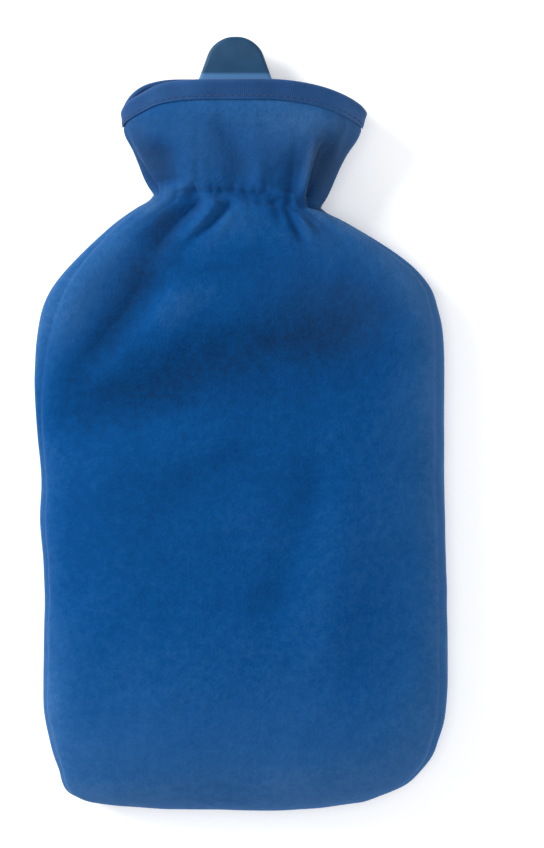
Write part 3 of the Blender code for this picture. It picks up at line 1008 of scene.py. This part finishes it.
@dataclass(frozen=True)
class RubberFinish:
    """Smooth teal rubber with a soft sheen, slightly dull and darker in patches.

    A pale highlight is painted across the tab's root, in a band across y that fades towards the mouth.
    """

    name: str = "teal_rubber"
    deep: Colour = (0.0070, 0.046, 0.108, 1.0)
    light: Colour = (0.0120, 0.062, 0.140, 1.0)
    # The colour of the painted highlight across the tab's root.
    painted_highlight: Colour = (0.053, 0.160, 0.338, 1.0)
    highlight_low: float = 0.1575
    highlight_low_fade: float = 0.0075
    highlight_high: float = 0.1700
    highlight_high_fade: float = 0.0009
    smooth: float = 0.42
    dull: float = 0.62
    smooth_end: float = 0.3
    dull_start: float = 0.7
    patch: float = 0.012
    grain: float = 0.0006
    grain_depth: float = 0.00003

    def material(self) -> bpy.types.Material:
        """Makes the material.

        Returns:
            The material, with its gloss and the painted highlight.
        """
        plan = NodePlan(self.name)
        place = plan.place()
        soft = plan.noise(place, self.patch, detail=3.0)
        grain = plan.noise(place, self.grain, detail=2.0)
        gloss = plan.add("ShaderNodeMapRange", {
            "Value": soft, "From Min": self.smooth_end, "From Max": self.dull_start,
            "To Min": self.smooth, "To Max": self.dull,
        }).outputs["Result"]
        # The painted highlight: a band across y at the tab's root, fading towards the mouth.
        along = plan.add("ShaderNodeSeparateXYZ", {"Vector": place}).outputs["Y"]
        rise, fall = (
            plan.add("ShaderNodeMapRange", {
                "Value": along, "From Min": edge - fade, "From Max": edge + fade,
                "To Min": low, "To Max": 1.0 - low,
            }, interpolation_type="SMOOTHSTEP").outputs["Result"]
            for edge, fade, low in (
                (self.highlight_low, self.highlight_low_fade, 0.0), (self.highlight_high, self.highlight_high_fade, 1.0)))
        band = plan.add("ShaderNodeMath", {0: rise, 1: fall}, operation="MULTIPLY").outputs[0]
        colour = plan.ramp(soft, ((NOISE_LOW, self.deep), (NOISE_HIGH, self.light)))
        plan.set(plan.shader, {
            "Base Color": plan.mix(band, colour, self.painted_highlight),
            "Roughness": gloss,
            "Specular IOR Level": 0.22,
            "Normal": plan.bump(grain, self.grain_depth),
        })
        return plan.material


@dataclass(frozen=True)
class FloorFinish:
    """A plain pale floor, lit a little from below as a light table is."""

    name: str = "pale_floor"
    colour: Colour = (0.90, 0.905, 0.91, 1.0)
    roughness: float = 0.9
    glow: float = 0.32

    def material(self) -> bpy.types.Material:
        """Makes the material.

        Returns:
            The material, with its glow.
        """
        plan = NodePlan(self.name)
        plan.set(plan.shader, {
            "Base Color": self.colour,
            "Roughness": self.roughness,
            "Specular IOR Level": 0.0,
            "Emission Color": self.colour,
            "Emission Strength": self.glow,
        })
        return plan.material


# --- Cloth pieces --------------------------------------------------------------------------------


def mesh_piece(name: str, points: np.ndarray, faces: np.ndarray, uv: np.ndarray) -> bpy.types.Object:
    """Makes a smooth-shaded piece in the frame.

    Args:
        name: The piece's name.
        points: Its points in metres.
        faces: Three or four point numbers for each face.
        uv: A place on the cloth in metres for each point.

    Returns:
        The new object.
    """
    mesh = bpy.data.meshes.new(name)
    mesh.from_pydata(points.tolist(), [], faces.tolist())
    layer = mesh.uv_layers.new(name="cloth")
    corners = np.empty(len(mesh.loops), np.int64)
    mesh.loops.foreach_get("vertex_index", corners)
    layer.data.foreach_set("uv", uv[corners].astype(np.float32).ravel())
    mesh.shade_smooth()
    piece = bpy.data.objects.new(name, mesh)
    bpy.context.scene.collection.objects.link(piece)
    return piece


def write_values(piece: bpy.types.Object, name: str, values: np.ndarray) -> None:
    """Writes one value for each point of a piece, for its finish to read."""
    attribute = piece.data.attributes.new(name, "FLOAT", "POINT")
    attribute.data.foreach_set("value", values.ravel().astype(np.float32))


class Face(Enum):
    """The two halves of the cover."""

    FRONT = "front_panel"
    BACK = "back_panel"


@dataclass(frozen=True)
class FleecePanel:
    """The front or the back of the cover, one cut piece of fleece from the bottom seam to the mouth.

    columns and rows are its mesh's. rows counts them in the rounding at the bottom, then up to the
    shoulders, the neck's gathers, the collar and the rim. The cloth rolls in towards its seams by
    seam_roll, and by a share of seam_end_share less in the last stretch below the rim, seam_end long.
    painted_light_low and painted_light_fade say how far the cloth has to face up to show its painted
    light, shade and haze, and painted_side_sheen how much painted sheen lightens its sides.
    """

    form: CoverForm
    face: Face
    columns: int
    rows: tuple[int, int, int, int, int]
    flat: tuple[float, float]
    flat_area: float
    finish: FleeceFinish = FleeceFinish()
    shoulder_along: float = 222.0
    neck_reach: float = 10.0
    column_crowding: float = 0.35
    seam_roll: float = 1.1
    seam_reach: float = 2.6
    seam_end: float = 14.0
    seam_end_fade: float = 8.0
    seam_end_share: float = 0.7
    inner_smoothing: int = 10
    least_thickness: float = 1.3
    rim_seat: float = 12.0
    rim_seat_lead: float = 1.5
    # Painted light, shade and haze show only where the cloth faces up; painted sheen lightens its sides.
    painted_light_low: float = -0.5
    painted_light_fade: float = 0.5
    painted_side_sheen: float = 0.9
    # Painted shade in deep places: the depth is counted in steps of hollow_depth, within hollow_limits.
    hollow_depth: float = 3.0
    hollow_limits: tuple[float, float] = (-0.3, 3.0)

    def row_heights(self) -> np.ndarray:
        """Places the mesh rows, close together at the bottom seam and the gathers.

        Returns:
            The heights on the side seam, rising.
        """
        form = self.form
        rounding_end = form.bottom_along + form.bottom_rounding
        closing = form.bottom_along + form.bottom_rounding * (
            1.0 - np.cos(np.linspace(0.0, math.pi / 2.0, self.rows[0], endpoint=False)))
        stops = [rounding_end, self.shoulder_along, form.neck_along - self.neck_reach,
                 form.neck_along + self.neck_reach, form.rim_along]
        spans = [np.linspace(low, high, count, endpoint=False)
                 for low, high, count in zip(stops, stops[1:], self.rows[1:])]
        return np.concatenate([closing, *spans, [form.rim_along]])

    def angles(self, along: np.ndarray) -> np.ndarray:
        """Places the mesh columns between the two seams.

        Args:
            along: The heights of the rows.

        Returns:
            The angles in radians, a line for each row.
        """
        right, left = self.form.seam_angles(along)
        start, end = (right, left) if self.face is Face.FRONT else (left, 2.0 * math.pi + right)
        share = np.linspace(0.0, 1.0, self.columns)
        share -= self.column_crowding * np.sin(2.0 * math.pi * share) / (2.0 * math.pi)
        return start[:, None] + (end - start)[:, None] * share

    def seam_depth(self, smooth: np.ndarray) -> np.ndarray:
        """How deep the cloth rolls in towards the seams at its sides and its bottom edge.

        Args:
            smooth: The grid of points on the smooth form.

        Returns:
            The depth in mm at each point.
        """
        across = run_length(smooth, 1)
        to_side = np.minimum(across, across[:, -1:] - across)
        to_bottom = run_length(smooth, 0)
        depth = sum(np.exp(-((away / self.seam_reach) ** 2)) for away in (to_side, to_bottom))
        to_rim = to_bottom[-1:] - to_bottom
        bound = smooth_step((self.seam_end - to_rim) / self.seam_end_fade)
        return self.seam_roll * np.minimum(depth, 1.0) * (1.0 - self.seam_end_share * bound)

    def shades(self, points: np.ndarray, cloth: Cloth, depth: np.ndarray) -> dict[str, np.ndarray]:
        """Works out the attributes that the finish reads: painted light, shade and haze, and the depth.

        Args:
            points: The grid of points on the outer face, in mm.
            cloth: The cloth at these points.
            depth: How deep the outer face lies under the smooth form.

        Returns:
            The values of each attribute, by its name.
        """
        # Painted light and shade and painted grey shade and haze, only where the cloth faces up, and
        # painted sheen where it faces sideways.
        above = smooth_step((cloth.outward[..., 2] - self.painted_light_low) / self.painted_light_fade)
        light = above * sum(patch.share_at(points) for patch in PAINTED_LIGHT_AND_SHADE)
        dull = above * sum(patch.share_at(points) for patch in PAINTED_GREY_SHADE_AND_HAZE)
        return {
            "painted_light": light + self.painted_side_sheen * (1.0 - np.abs(cloth.outward[..., 2])),
            "dull": np.clip(dull, 0.0, 1.0),
            "hollow": np.clip(depth / self.hollow_depth, *self.hollow_limits),
        }

    def inner_depth(self, depth: np.ndarray, along: np.ndarray) -> np.ndarray:
        """How deep the inner face lies: it follows the outer one more softly, but not in the binding.

        Args:
            depth: How deep the outer face lies under the smooth form.
            along: The points' heights on the side seam.

        Returns:
            The inner face's depth in mm at each point.
        """
        soft = depth
        for _ in range(self.inner_smoothing):
            padded = np.pad(soft, 1, mode="edge")
            soft = (padded[:-2, 1:-1] + padded[2:, 1:-1] + padded[1:-1, :-2] + padded[1:-1, 2:]) / 4.0
        inner = np.maximum(soft + self.form.thickness, depth + self.least_thickness)
        bound = smooth_step((along - self.form.rim_along) / self.rim_seat + self.rim_seat_lead)
        return inner + (depth + self.form.thickness - inner) * bound

    def build(self) -> bpy.types.Object:
        """Makes the panel's mesh: an outer and an inner face, joined round their border.

        Returns:
            The panel, in the frame.
        """
        form = self.form
        heights = self.row_heights()
        angle = self.angles(heights)
        along = np.repeat(heights[:, None], self.columns, axis=1)
        cloth = form.cloth_at(angle, along)
        depth = cloth.depth + self.seam_depth(cloth.smooth)
        outer = cloth.smooth - cloth.outward * depth[..., None]
        inner = cloth.smooth - cloth.outward * self.inner_depth(depth, along)[..., None]
        for layer in (outer, inner):
            layer[..., 2] = np.maximum(layer[..., 2], 0.0)

        number = np.arange(angle.size).reshape(angle.shape)
        low, high = number[:-1, :], number[1:, :]
        quads = np.stack([low[:, :-1], high[:, :-1], high[:, 1:], low[:, 1:]], axis=-1).reshape(-1, 4)
        border = np.concatenate([number[0, :-1], number[:-1, -1], number[-1, :0:-1], number[:0:-1, 0]])
        following = np.roll(border, -1)
        edge = np.stack([border, following, following + number.size, border + number.size], axis=-1)
        faces = np.concatenate([quads, quads[:, ::-1] + number.size, edge])
        points = form.in_frame(np.concatenate([outer.reshape(-1, 3), inner.reshape(-1, 3)]))
        place = np.stack([run_length(cloth.smooth, 1), run_length(cloth.smooth, 0)], axis=-1)
        uv = np.tile(place.reshape(-1, 2) * MM, (2, 1))
        piece = mesh_piece(self.face.value + "_fleece", points, faces, uv)
        for name, values in self.shades(outer, cloth, depth).items():
            write_values(piece, name, np.tile(values.ravel(), 2))
        return piece

    def dress(self, piece: bpy.types.Object) -> None:
        """Gives the panel its finish, hangs it on the body, and hides the part of the model it replaces.

        Args:
            piece: The panel.
        """
        piece.data.materials.append(self.finish.material())
        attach(piece, BODY)
        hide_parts(self.face.value)


def settle() -> None:
    """Moves the place, the turn and the size of the active object into its mesh."""
    bpy.ops.object.transform_apply(location=True, rotation=True, scale=True)


def select(shape: bpy.types.Object, kind: str, wanted: Callable[[Element], bool]) -> None:
    """Goes into edit mode with only the wanted faces or edges of a shape selected.

    Args:
        shape: The object to edit.
        kind: FACE or EDGE.
        wanted: Says of a face or an edge whether it is to be selected.
    """
    bpy.context.view_layer.objects.active = shape
    shape.select_set(True)
    bpy.ops.object.mode_set(mode="EDIT")
    bpy.ops.mesh.select_mode(type="FACE")
    bpy.ops.mesh.select_all(action="DESELECT")
    bpy.ops.mesh.select_mode(type=kind)
    mesh = bmesh.from_edit_mesh(shape.data)
    for element in mesh.faces if kind == "FACE" else mesh.edges:
        if wanted(element):
            element.select_set(True)
    bmesh.update_edit_mesh(shape.data)


def looks(axis: int, sign: float) -> Callable[[bmesh.types.BMFace], bool]:
    """A test of whether a face looks along x, y or z, axis 0, 1 or 2, to the side of this sign."""
    least = 0.9
    return lambda face: face.normal[axis] * sign > least


def draw_out(move: Sequence[float], wider: Sequence[float], centre: Sequence[float]) -> None:
    """Extrudes the selected faces by a move, and resizes the new ones about a centre."""
    bpy.ops.mesh.extrude_region_move(TRANSFORM_OT_translate={"value": move})
    bpy.ops.transform.resize(value=wider, center_override=centre)


def finish_edit() -> None:
    """Turns all faces of the edited shape outwards, and leaves edit mode."""
    bpy.ops.mesh.select_all(action="SELECT")
    bpy.ops.mesh.normals_make_consistent(inside=False)
    bpy.ops.object.mode_set(mode="OBJECT")


@dataclass(frozen=True)
class Stitch:
    """One short stitch of thread, modelled once and copied along its seam.

    core and tip are the shares of its length that its middle and each end take, and tip_width is how
    wide it is at its ends, as a share of its width.
    """

    long: float = 2.5
    wide: float = 0.55
    high: float = 0.42
    sides: int = 6
    core: float = 0.56
    tip: float = 0.22
    tip_width: float = 0.4

    def build(self) -> tuple[np.ndarray, np.ndarray]:
        """Models the stitch at the origin, along x.

        Returns:
            Its points in metres, and its faces as triangles of point numbers.
        """
        bpy.ops.object.select_all(action="DESELECT")
        bpy.ops.mesh.primitive_cylinder_add(
            vertices=self.sides, radius=0.5, depth=self.core, end_fill_type="NGON",
            rotation=(0.0, math.pi / 2.0, 0.0))
        shape = bpy.context.object
        settle()
        narrower = (1.0, self.tip_width, self.tip_width)
        for side in (-1.0, 1.0):
            select(shape, "FACE", looks(0, side))
            draw_out((side * self.tip, 0.0, 0.0), narrower, (side * 0.5, 0.0, 0.0))
            bpy.ops.object.mode_set(mode="OBJECT")
        shape.scale = (self.long * MM, self.wide * MM, self.high * MM)
        settle()
        shape.data.calc_loop_triangles()
        points = np.array([vertex.co for vertex in shape.data.vertices])
        triangles = np.array([triangle.vertices for triangle in shape.data.loop_triangles])
        bpy.data.objects.remove(shape)
        return points, triangles


@dataclass(frozen=True)
class MouthBinding:
    """The strip folded over the raw edge of the mouth, in one ring, and the stitches that hold it."""

    form: CoverForm
    strip_thickness: float = 1.0
    strip_gap: float = 0.2
    rim_gap: float = 1.2
    puff: float = 0.45
    stitch_above_edge: float = 1.5
    stitch_dent: float = 0.22
    stitch_dent_reach: float = 0.9
    edge_thinning: float = 0.6
    edge_reach: float = 2.0
    stitch_pitch: float = 3.3
    columns: int = 420
    leg_points: int = 15
    fold_points: int = 11
    end_points: int = 4
    least_height: float = 0.05
    heading_step: float = 0.01
    finish: BindingFinish = BindingFinish()
    thread: ThreadFinish = ThreadFinish()
    stitch: Stitch = Stitch()

    def centre_line(self) -> tuple[np.ndarray, np.ndarray]:
        """The middle of the folded strip, as height above the rim and depth below the cloth's face.

        Returns:
            The heights and the depths, from the outer leg's lower edge over the rim to the inner one.
        """
        form = self.form
        outside = -self.strip_gap - self.strip_thickness / 2.0
        inside = form.thickness + self.strip_gap + self.strip_thickness / 2.0
        leg = np.linspace(-form.binding_leg + self.strip_thickness / 2.0, 0.0, self.leg_points)
        turn = np.linspace(0.0, math.pi, self.fold_points + 2)[1:-1]
        top = self.rim_gap + self.strip_thickness / 2.0
        middle = form.thickness / 2.0
        heights = np.concatenate([leg, top * np.sin(turn), leg[::-1]])
        depths = np.concatenate([
            np.full(leg.shape, outside),
            middle + (outside - middle) * np.cos(turn),
            np.full(leg.shape, inside),
        ])
        return heights, depths

    def profile(self) -> tuple[np.ndarray, np.ndarray]:
        """The closed section of the strip, with round edges, a puffed leg and a dent at the stitches.

        Returns:
            Heights above the rim and depths below the cloth's face, round the section.
        """
        heights, depths = self.centre_line()
        line = np.stack([heights, depths], axis=-1)
        ahead = np.gradient(line, axis=0)
        ahead /= np.linalg.norm(ahead, axis=1)[:, None]
        aside = np.stack([ahead[:, 1], -ahead[:, 0]], axis=-1)
        half = self.strip_thickness / 2.0
        from_edge = heights + self.form.binding_leg
        on_leg = heights < 0.0
        puffed = self.puff * np.sin(np.clip(from_edge / self.form.binding_leg, 0.0, 1.0) * math.pi)
        dent = self.stitch_dent * np.exp(
            -(((from_edge - self.stitch_above_edge) / self.stitch_dent_reach) ** 2))
        thin = self.edge_thinning * (1.0 - smooth_step(from_edge / self.edge_reach))
        outer_half = half + np.where(on_leg, puffed - dent - thin, 0.0)
        away = line - aside * outer_half[:, None]
        near = line + aside * half
        turn = np.linspace(0.0, math.pi, self.end_points + 2)[1:-1, None]
        first = line[0] - aside[0] * half * np.cos(turn + math.pi) - ahead[0] * half * np.sin(turn)
        last = line[-1] - aside[-1] * half * np.cos(turn) + ahead[-1] * half * np.sin(turn)
        section = np.concatenate([away, last, near[::-1], first])
        return section[:, 0], section[:, 1]

    def angles(self, count: int, along: float) -> np.ndarray:
        """Angles at equal steps of the way round the mouth."""
        angle, way = self.form.girth_table(along)
        return np.interp(np.arange(count) * way[-1] / count, way, angle)

    def surface(self, angle: np.ndarray, height: np.ndarray, depth: np.ndarray) -> np.ndarray:
        """Points of the binding in mm.

        Args:
            angle: The points' angles round the mouth.
            height: Their heights above the rim, under 0 on the legs, for each angle or for all.
            depth: How deep they lie below the cloth's outer face, for each angle or for all.

        Returns:
            The points in the last axis.
        """
        angle, height, depth = np.broadcast_arrays(angle, height, depth)
        cloth = self.form.cloth_at(angle, self.form.rim_along + np.minimum(height, 0.0))
        points = cloth.smooth - cloth.outward * (cloth.depth + depth)[..., None]
        points[..., 1] += np.maximum(height, 0.0)
        return points

    def build(self) -> bpy.types.Object:
        """Makes the strip's mesh.

        Returns:
            The strip, in the frame.
        """
        heights, depths = self.profile()
        angle = self.angles(self.columns, self.form.rim_along)
        points = self.surface(angle[:, None], heights, depths)
        points[..., 2] = np.maximum(points[..., 2], self.least_height)
        number = np.arange(angle.size * heights.size).reshape(angle.size, heights.size)
        after, beside = np.roll(number, -1, axis=0), np.roll(number, -1, axis=1)
        quads = np.stack([number, after, np.roll(after, -1, axis=1), beside], axis=-1).reshape(-1, 4)
        girth = run_length(points[:, :1], 0)[:, :1] * MM
        strip = run_length(np.stack([heights, depths], axis=-1), 0) * MM
        uv = np.stack(np.broadcast_arrays(girth, strip), axis=-1)
        piece = mesh_piece("mouth_binding_strip", self.form.in_frame(points.reshape(-1, 3)), quads,
                           uv.reshape(-1, 2))
        # Painted light: the strip is painted lighter in two patches.
        write_values(piece, "painted_light", sum(patch.share_at(points) for patch in BINDING_PAINTED_LIGHT))
        return piece

    def build_stitches(self) -> bpy.types.Object:
        """Makes the row of stitches along the outer leg, copies of one stitch joined in one mesh.

        Returns:
            The stitches, in the frame.
        """
        one, triangles = self.stitch.build()
        height = self.stitch_above_edge - self.form.binding_leg
        along = self.form.rim_along + height
        _, way = self.form.girth_table(along)
        count = round(way[-1] / self.stitch_pitch)
        angle = self.angles(count, along)
        outside = -self.strip_gap - self.strip_thickness - self.puff / 2.0 + self.stitch_dent
        at = self.surface(angle, height, outside)
        ahead = self.surface(angle + self.heading_step, height, outside) - at
        ahead /= np.linalg.norm(ahead, axis=1)[:, None]
        up = self.form.outward(angle, np.full(count, along))
        up -= ahead * (up * ahead).sum(axis=1)[:, None]
        up /= np.linalg.norm(up, axis=1)[:, None]
        side = np.cross(up, ahead)
        points = np.repeat(self.form.in_frame(at)[:, None, :], len(one), axis=1)
        for axis, way_out in enumerate((ahead, side, up)):
            points += one[None, :, axis, None] * way_out[:, None, :]
        faces = triangles + (np.arange(count) * len(one))[:, None, None]
        uv = np.zeros((count * len(one), 2))
        return mesh_piece("binding_stitches", points.reshape(-1, 3), faces.reshape(-1, 3), uv)

    def dress(self, strip: bpy.types.Object, stitches: bpy.types.Object) -> None:
        """Gives the strip and stitches their finishes, hangs them on the body, hides the model's binding.

        Args:
            strip: The strip.
            stitches: Its stitches.
        """
        strip.data.materials.append(self.finish.material())
        stitches.data.materials.append(self.thread.material())
        for piece in (strip, stitches):
            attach(piece, BODY)
        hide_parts("mouth_binding")


# --- The bottle ----------------------------------------------------------------------------------


class Station(NamedTuple):
    """A section across the bottle: height along the object, half width, half thickness, middle."""

    along: float
    half_width: float
    half_height: float
    x: float
    z: float


@dataclass(frozen=True)
class RubberBottle:
    """The bottle that fills the cover, with the tab that stands out of the collar, in one rubber piece."""

    form: CoverForm
    finish: RubberFinish = RubberFinish()
    stations: tuple[Station, ...] = (
        Station(18.0, 62.0, 5.0, 3.0, 14.0),
        Station(24.0, 76.0, 9.0, 2.0, 15.0),
        Station(40.0, 84.0, 12.0, 2.0, 17.0),
        Station(80.0, 86.0, 13.5, 1.5, 18.0),
        Station(180.0, 86.0, 13.0, 1.0, 18.0),
        Station(215.0, 84.0, 11.5, 1.0, 17.0),
        Station(240.0, 74.0, 10.0, 1.0, 16.0),
        Station(256.0, 58.0, 9.6, 0.0, 16.0),
        Station(268.0, 40.0, 9.8, -1.0, 16.6),
        Station(278.0, 27.0, 10.2, -2.2, 17.6),
        Station(288.0, 22.0, 10.6, -2.7, 18.6),
        Station(302.0, 21.0, 10.8, -2.7, 19.0),
        Station(314.0, 22.5, 11.0, -2.7, 19.4),
        Station(322.0, 24.5, 11.4, -2.7, 19.6),
        Station(326.0, 24.0, 11.0, -2.7, 19.6),
    )
    ring_points: int = 48
    lip: float = 3.0
    funnel: tuple[tuple[float, float], ...] = ((6.0, 0.86), (10.0, 0.72), (9.0, 0.86), (16.0, 0.96))

    tab_x: float = -2.7
    tab_foot: float = 316.0
    tab_top_width: float = 20.6
    tab_spread: float = 0.72
    tab_spread_end: float = 26.0
    tab_z: float = 12.5
    tab_thickness: float = 5.0
    tab_corner: float = 9.2
    tab_edge: float = 1.9
    root_top: float = 357.3
    root_along: float = 353.7
    root_rise: float = 3.0
    corner_steps: int = 14
    edge_steps: int = 5
    sharp_degrees: float = 50.0

    def at(self, x: float, along: float, z: float) -> Vector:
        """A place of the frame in metres."""
        return Vector(self.form.in_frame(np.array([x, along, z])))

    def build_body(self) -> bpy.types.Object:
        """Models the filled body, the neck, the lip and the funnel of the mouth from one ring.

        Returns:
            The body, not yet joined to its tab.
        """
        bpy.ops.object.select_all(action="DESELECT")
        first = self.stations[0]
        centre = self.at(first.x, first.along, first.z)
        bpy.ops.mesh.primitive_circle_add(
            vertices=self.ring_points, radius=MM, fill_type="NGON", location=centre,
            rotation=(math.pi / 2.0, 0.0, 0.0))
        body = bpy.context.object
        body.name = "bottle_rubber"
        settle()
        select(body, "FACE", lambda face: True)
        bpy.ops.transform.resize(
            value=(first.half_width, 1.0, first.half_height), center_override=centre)
        for station, following in zip(self.stations, self.stations[1:]):
            centre = self.at(following.x, following.along, following.z)
            move = centre - self.at(station.x, station.along, station.z)
            wider = (following.half_width / station.half_width, 1.0,
                     following.half_height / station.half_height)
            draw_out(move, wider, centre)
        bpy.ops.mesh.inset(thickness=self.lip * MM, depth=0.0)
        for down, narrower in self.funnel:
            centre.y -= down * MM
            draw_out((0.0, -down * MM, 0.0), (narrower, 1.0, narrower), centre)
        finish_edit()
        return body

    def at_top_corner(self, edge: bmesh.types.BMEdge) -> bool:
        """Whether an edge of the tab stands upright at one of its top corners.

        Args:
            edge: The edge.

        Returns:
            True for the two edges there, before they are rounded.
        """
        least = self.at(0.0, self.form.length - 0.1, 0.0).y
        first, second = (corner.co for corner in edge.verts)
        return min(first.y, second.y) > least and abs(first.z - second.z) > MM

    def on_outline(self, edge: bmesh.types.BMEdge) -> bool:
        """Whether an edge of the tab lies between its upper or lower face and its side."""
        least = 0.4
        return sorted(abs(face.normal.z) > least for face in edge.link_faces) == [False, True]

    def build_tab(self) -> bpy.types.Object:
        """Models the flat tab, with its rounded top and its thicker root, from a block.

        Returns:
            The tab, to be joined to the body.
        """
        bpy.ops.object.select_all(action="DESELECT")
        top = self.form.length
        spread_from = top - self.tab_spread_end
        middle = (top + spread_from) / 2.0
        bpy.ops.mesh.primitive_cube_add(size=1.0, location=self.at(self.tab_x, middle, self.tab_z))
        tab = bpy.context.object
        tab.name = "tab"
        foot_width = self.tab_top_width + self.tab_spread * self.tab_spread_end
        tab.scale = (foot_width * MM, self.tab_spread_end * MM, self.tab_thickness * MM)
        settle()
        select(tab, "FACE", looks(1, 1.0))
        bpy.ops.transform.resize(
            value=(self.tab_top_width / foot_width, 1.0, 1.0),
            center_override=self.at(self.tab_x, top, self.tab_z))
        select(tab, "FACE", looks(1, -1.0))
        down = (spread_from - self.tab_foot) * MM
        bpy.ops.mesh.extrude_region_move(TRANSFORM_OT_translate={"value": (0.0, -down, 0.0)})
        select(tab, "EDGE", self.at_top_corner)
        bpy.ops.mesh.bevel(
            offset=self.tab_corner * MM, segments=self.corner_steps, profile=0.5, affect="EDGES")
        for along in (self.root_top, self.root_along):
            bpy.ops.mesh.select_all(action="SELECT")
            bpy.ops.mesh.bisect(plane_co=self.at(0.0, along, 0.0), plane_no=(0.0, 1.0, 0.0))
        bpy.ops.object.mode_set(mode="OBJECT")
        root = self.at(0.0, self.root_along, 0.0)
        upwards = looks(2, 1.0)
        select(tab, "FACE", lambda face: upwards(face) and face.calc_center_median().y < root.y)
        bpy.ops.transform.translate(value=(0.0, 0.0, self.root_rise * MM))
        select(tab, "EDGE", self.on_outline)
        bpy.ops.mesh.bevel(offset=self.tab_edge * MM, segments=self.edge_steps, profile=0.5, affect="EDGES")
        finish_edit()
        return tab

    def build(self) -> bpy.types.Object:
        """Models the bottle and its tab and unites them.

        Returns:
            The bottle, in the frame.
        """
        body, tab = self.build_body(), self.build_tab()
        bpy.ops.object.select_all(action="DESELECT")
        bpy.context.view_layer.objects.active = body
        body.select_set(True)
        union = body.modifiers.new("tab", "BOOLEAN")
        union.operation, union.object = "UNION", tab
        bpy.ops.object.modifier_apply(modifier="tab")
        bpy.data.objects.remove(tab)
        bpy.ops.object.shade_smooth_by_angle(angle=math.radians(self.sharp_degrees))
        return body

    def dress(self, piece: bpy.types.Object) -> None:
        """Gives the bottle its finish, hangs it on the body, and hides the model's bottle.

        Args:
            piece: The bottle.
        """
        piece.data.materials.append(self.finish.material())
        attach(piece, BODY)
        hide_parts("bottle")


# --- The studio ----------------------------------------------------------------------------------


@dataclass(frozen=True)
class AreaLight:
    """A square soft light that looks at the object."""

    name: str
    place: tuple[float, float, float]
    size: float
    power: float
    colour: tuple[float, float, float] = (1.0, 1.0, 1.0)
    look_at: tuple[float, float, float] = (0.0, 0.0, 0.02)

    def build(self) -> bpy.types.Object:
        """Makes the light.

        Returns:
            The light, in the scene.
        """
        data = bpy.data.lights.new(self.name, "AREA")
        data.energy, data.size, data.color = self.power, self.size, self.colour
        light = bpy.data.objects.new(self.name, data)
        light.location = self.place
        to_object = Vector(self.look_at) - Vector(self.place)
        light.rotation_euler = to_object.to_track_quat("-Z", "Y").to_euler()
        bpy.context.scene.collection.objects.link(light)
        return light


@dataclass(frozen=True)
class Studio:
    """A pale floor, soft light from the upper left, and a camera straight above the front."""

    floor: FloorFinish = FloorFinish()
    floor_half: float = 5.0
    sky: Colour = (0.97, 0.985, 1.0, 1.0)
    sky_strength: float = 0.42
    lights: tuple[AreaLight, ...] = (
        AreaLight("key", (-1.60, 0.95, 1.10), 0.9, 48.0),
        AreaLight("overhead", (0.0, -0.1, 2.4), 1.6, 20.0),
        AreaLight("low fill", (0.50, -1.80, 0.95), 1.2, 9.0),
    )
    lens: float = 150.0
    sensor: float = 36.0
    camera_x: float = 0.01502
    camera_z: float = 1.7282
    camera_sees: tuple[float, float] = (0.1, 20.0)

    def build_floor(self) -> None:
        """Lays the floor."""
        bpy.ops.object.select_all(action="DESELECT")
        bpy.ops.mesh.primitive_plane_add(size=2.0 * self.floor_half)
        floor = bpy.context.object
        floor.name = "floor"
        floor.data.materials.append(self.floor.material())

    def build_camera(self) -> None:
        """Sets the camera straight above the object, with the collar at the top of the picture."""
        data = bpy.data.cameras.new("camera")
        data.lens, data.sensor_width = self.lens, self.sensor
        data.clip_start, data.clip_end = self.camera_sees
        camera = bpy.data.objects.new("camera", data)
        camera.location = (self.camera_x, 0.0, self.camera_z)
        bpy.context.scene.collection.objects.link(camera)
        bpy.context.scene.camera = camera

    def build(self) -> None:
        """Builds the whole studio."""
        self.build_floor()
        self.build_camera()
        for light in self.lights:
            light.build()
        world = bpy.data.worlds.new("studio")
        world.use_nodes = True
        background = world.node_tree.nodes["Background"]
        background.inputs["Color"].default_value = self.sky
        background.inputs["Strength"].default_value = self.sky_strength
        bpy.context.scene.world = world
        bpy.context.scene.view_settings.view_transform = "Standard"


def report(piece: bpy.types.Object) -> None:
    """Logs how large a piece is."""
    piece.data.calc_loop_triangles()
    LOG.info("%s: %d triangles, %s mm", piece.name, len(piece.data.loop_triangles),
             [round(side / MM, 1) for side in piece.dimensions])


def main() -> None:
    """Builds the cover, the bottle and the studio."""
    logging.basicConfig(level=logging.INFO, format="%(name)s: %(message)s")
    form = CoverForm()
    front = FleecePanel(
        form, Face.FRONT, columns=210, rows=(26, 96, 54, 30, 24), flat=(0.225, 0.375), flat_area=0.067)
    back = FleecePanel(
        form, Face.BACK, columns=170, rows=(26, 66, 44, 30, 24), flat=(0.245, 0.375), flat_area=0.075)
    for panel in (front, back):
        piece = panel.build()
        panel.dress(piece)
        report(piece)

    binding = MouthBinding(form)
    strip, stitches = binding.build(), binding.build_stitches()
    binding.dress(strip, stitches)
    for piece in (strip, stitches):
        report(piece)

    bottle = RubberBottle(form)
    piece = bottle.build()
    bottle.dress(piece)
    report(piece)

    Studio().build()


if __name__ == "__main__":
    main()
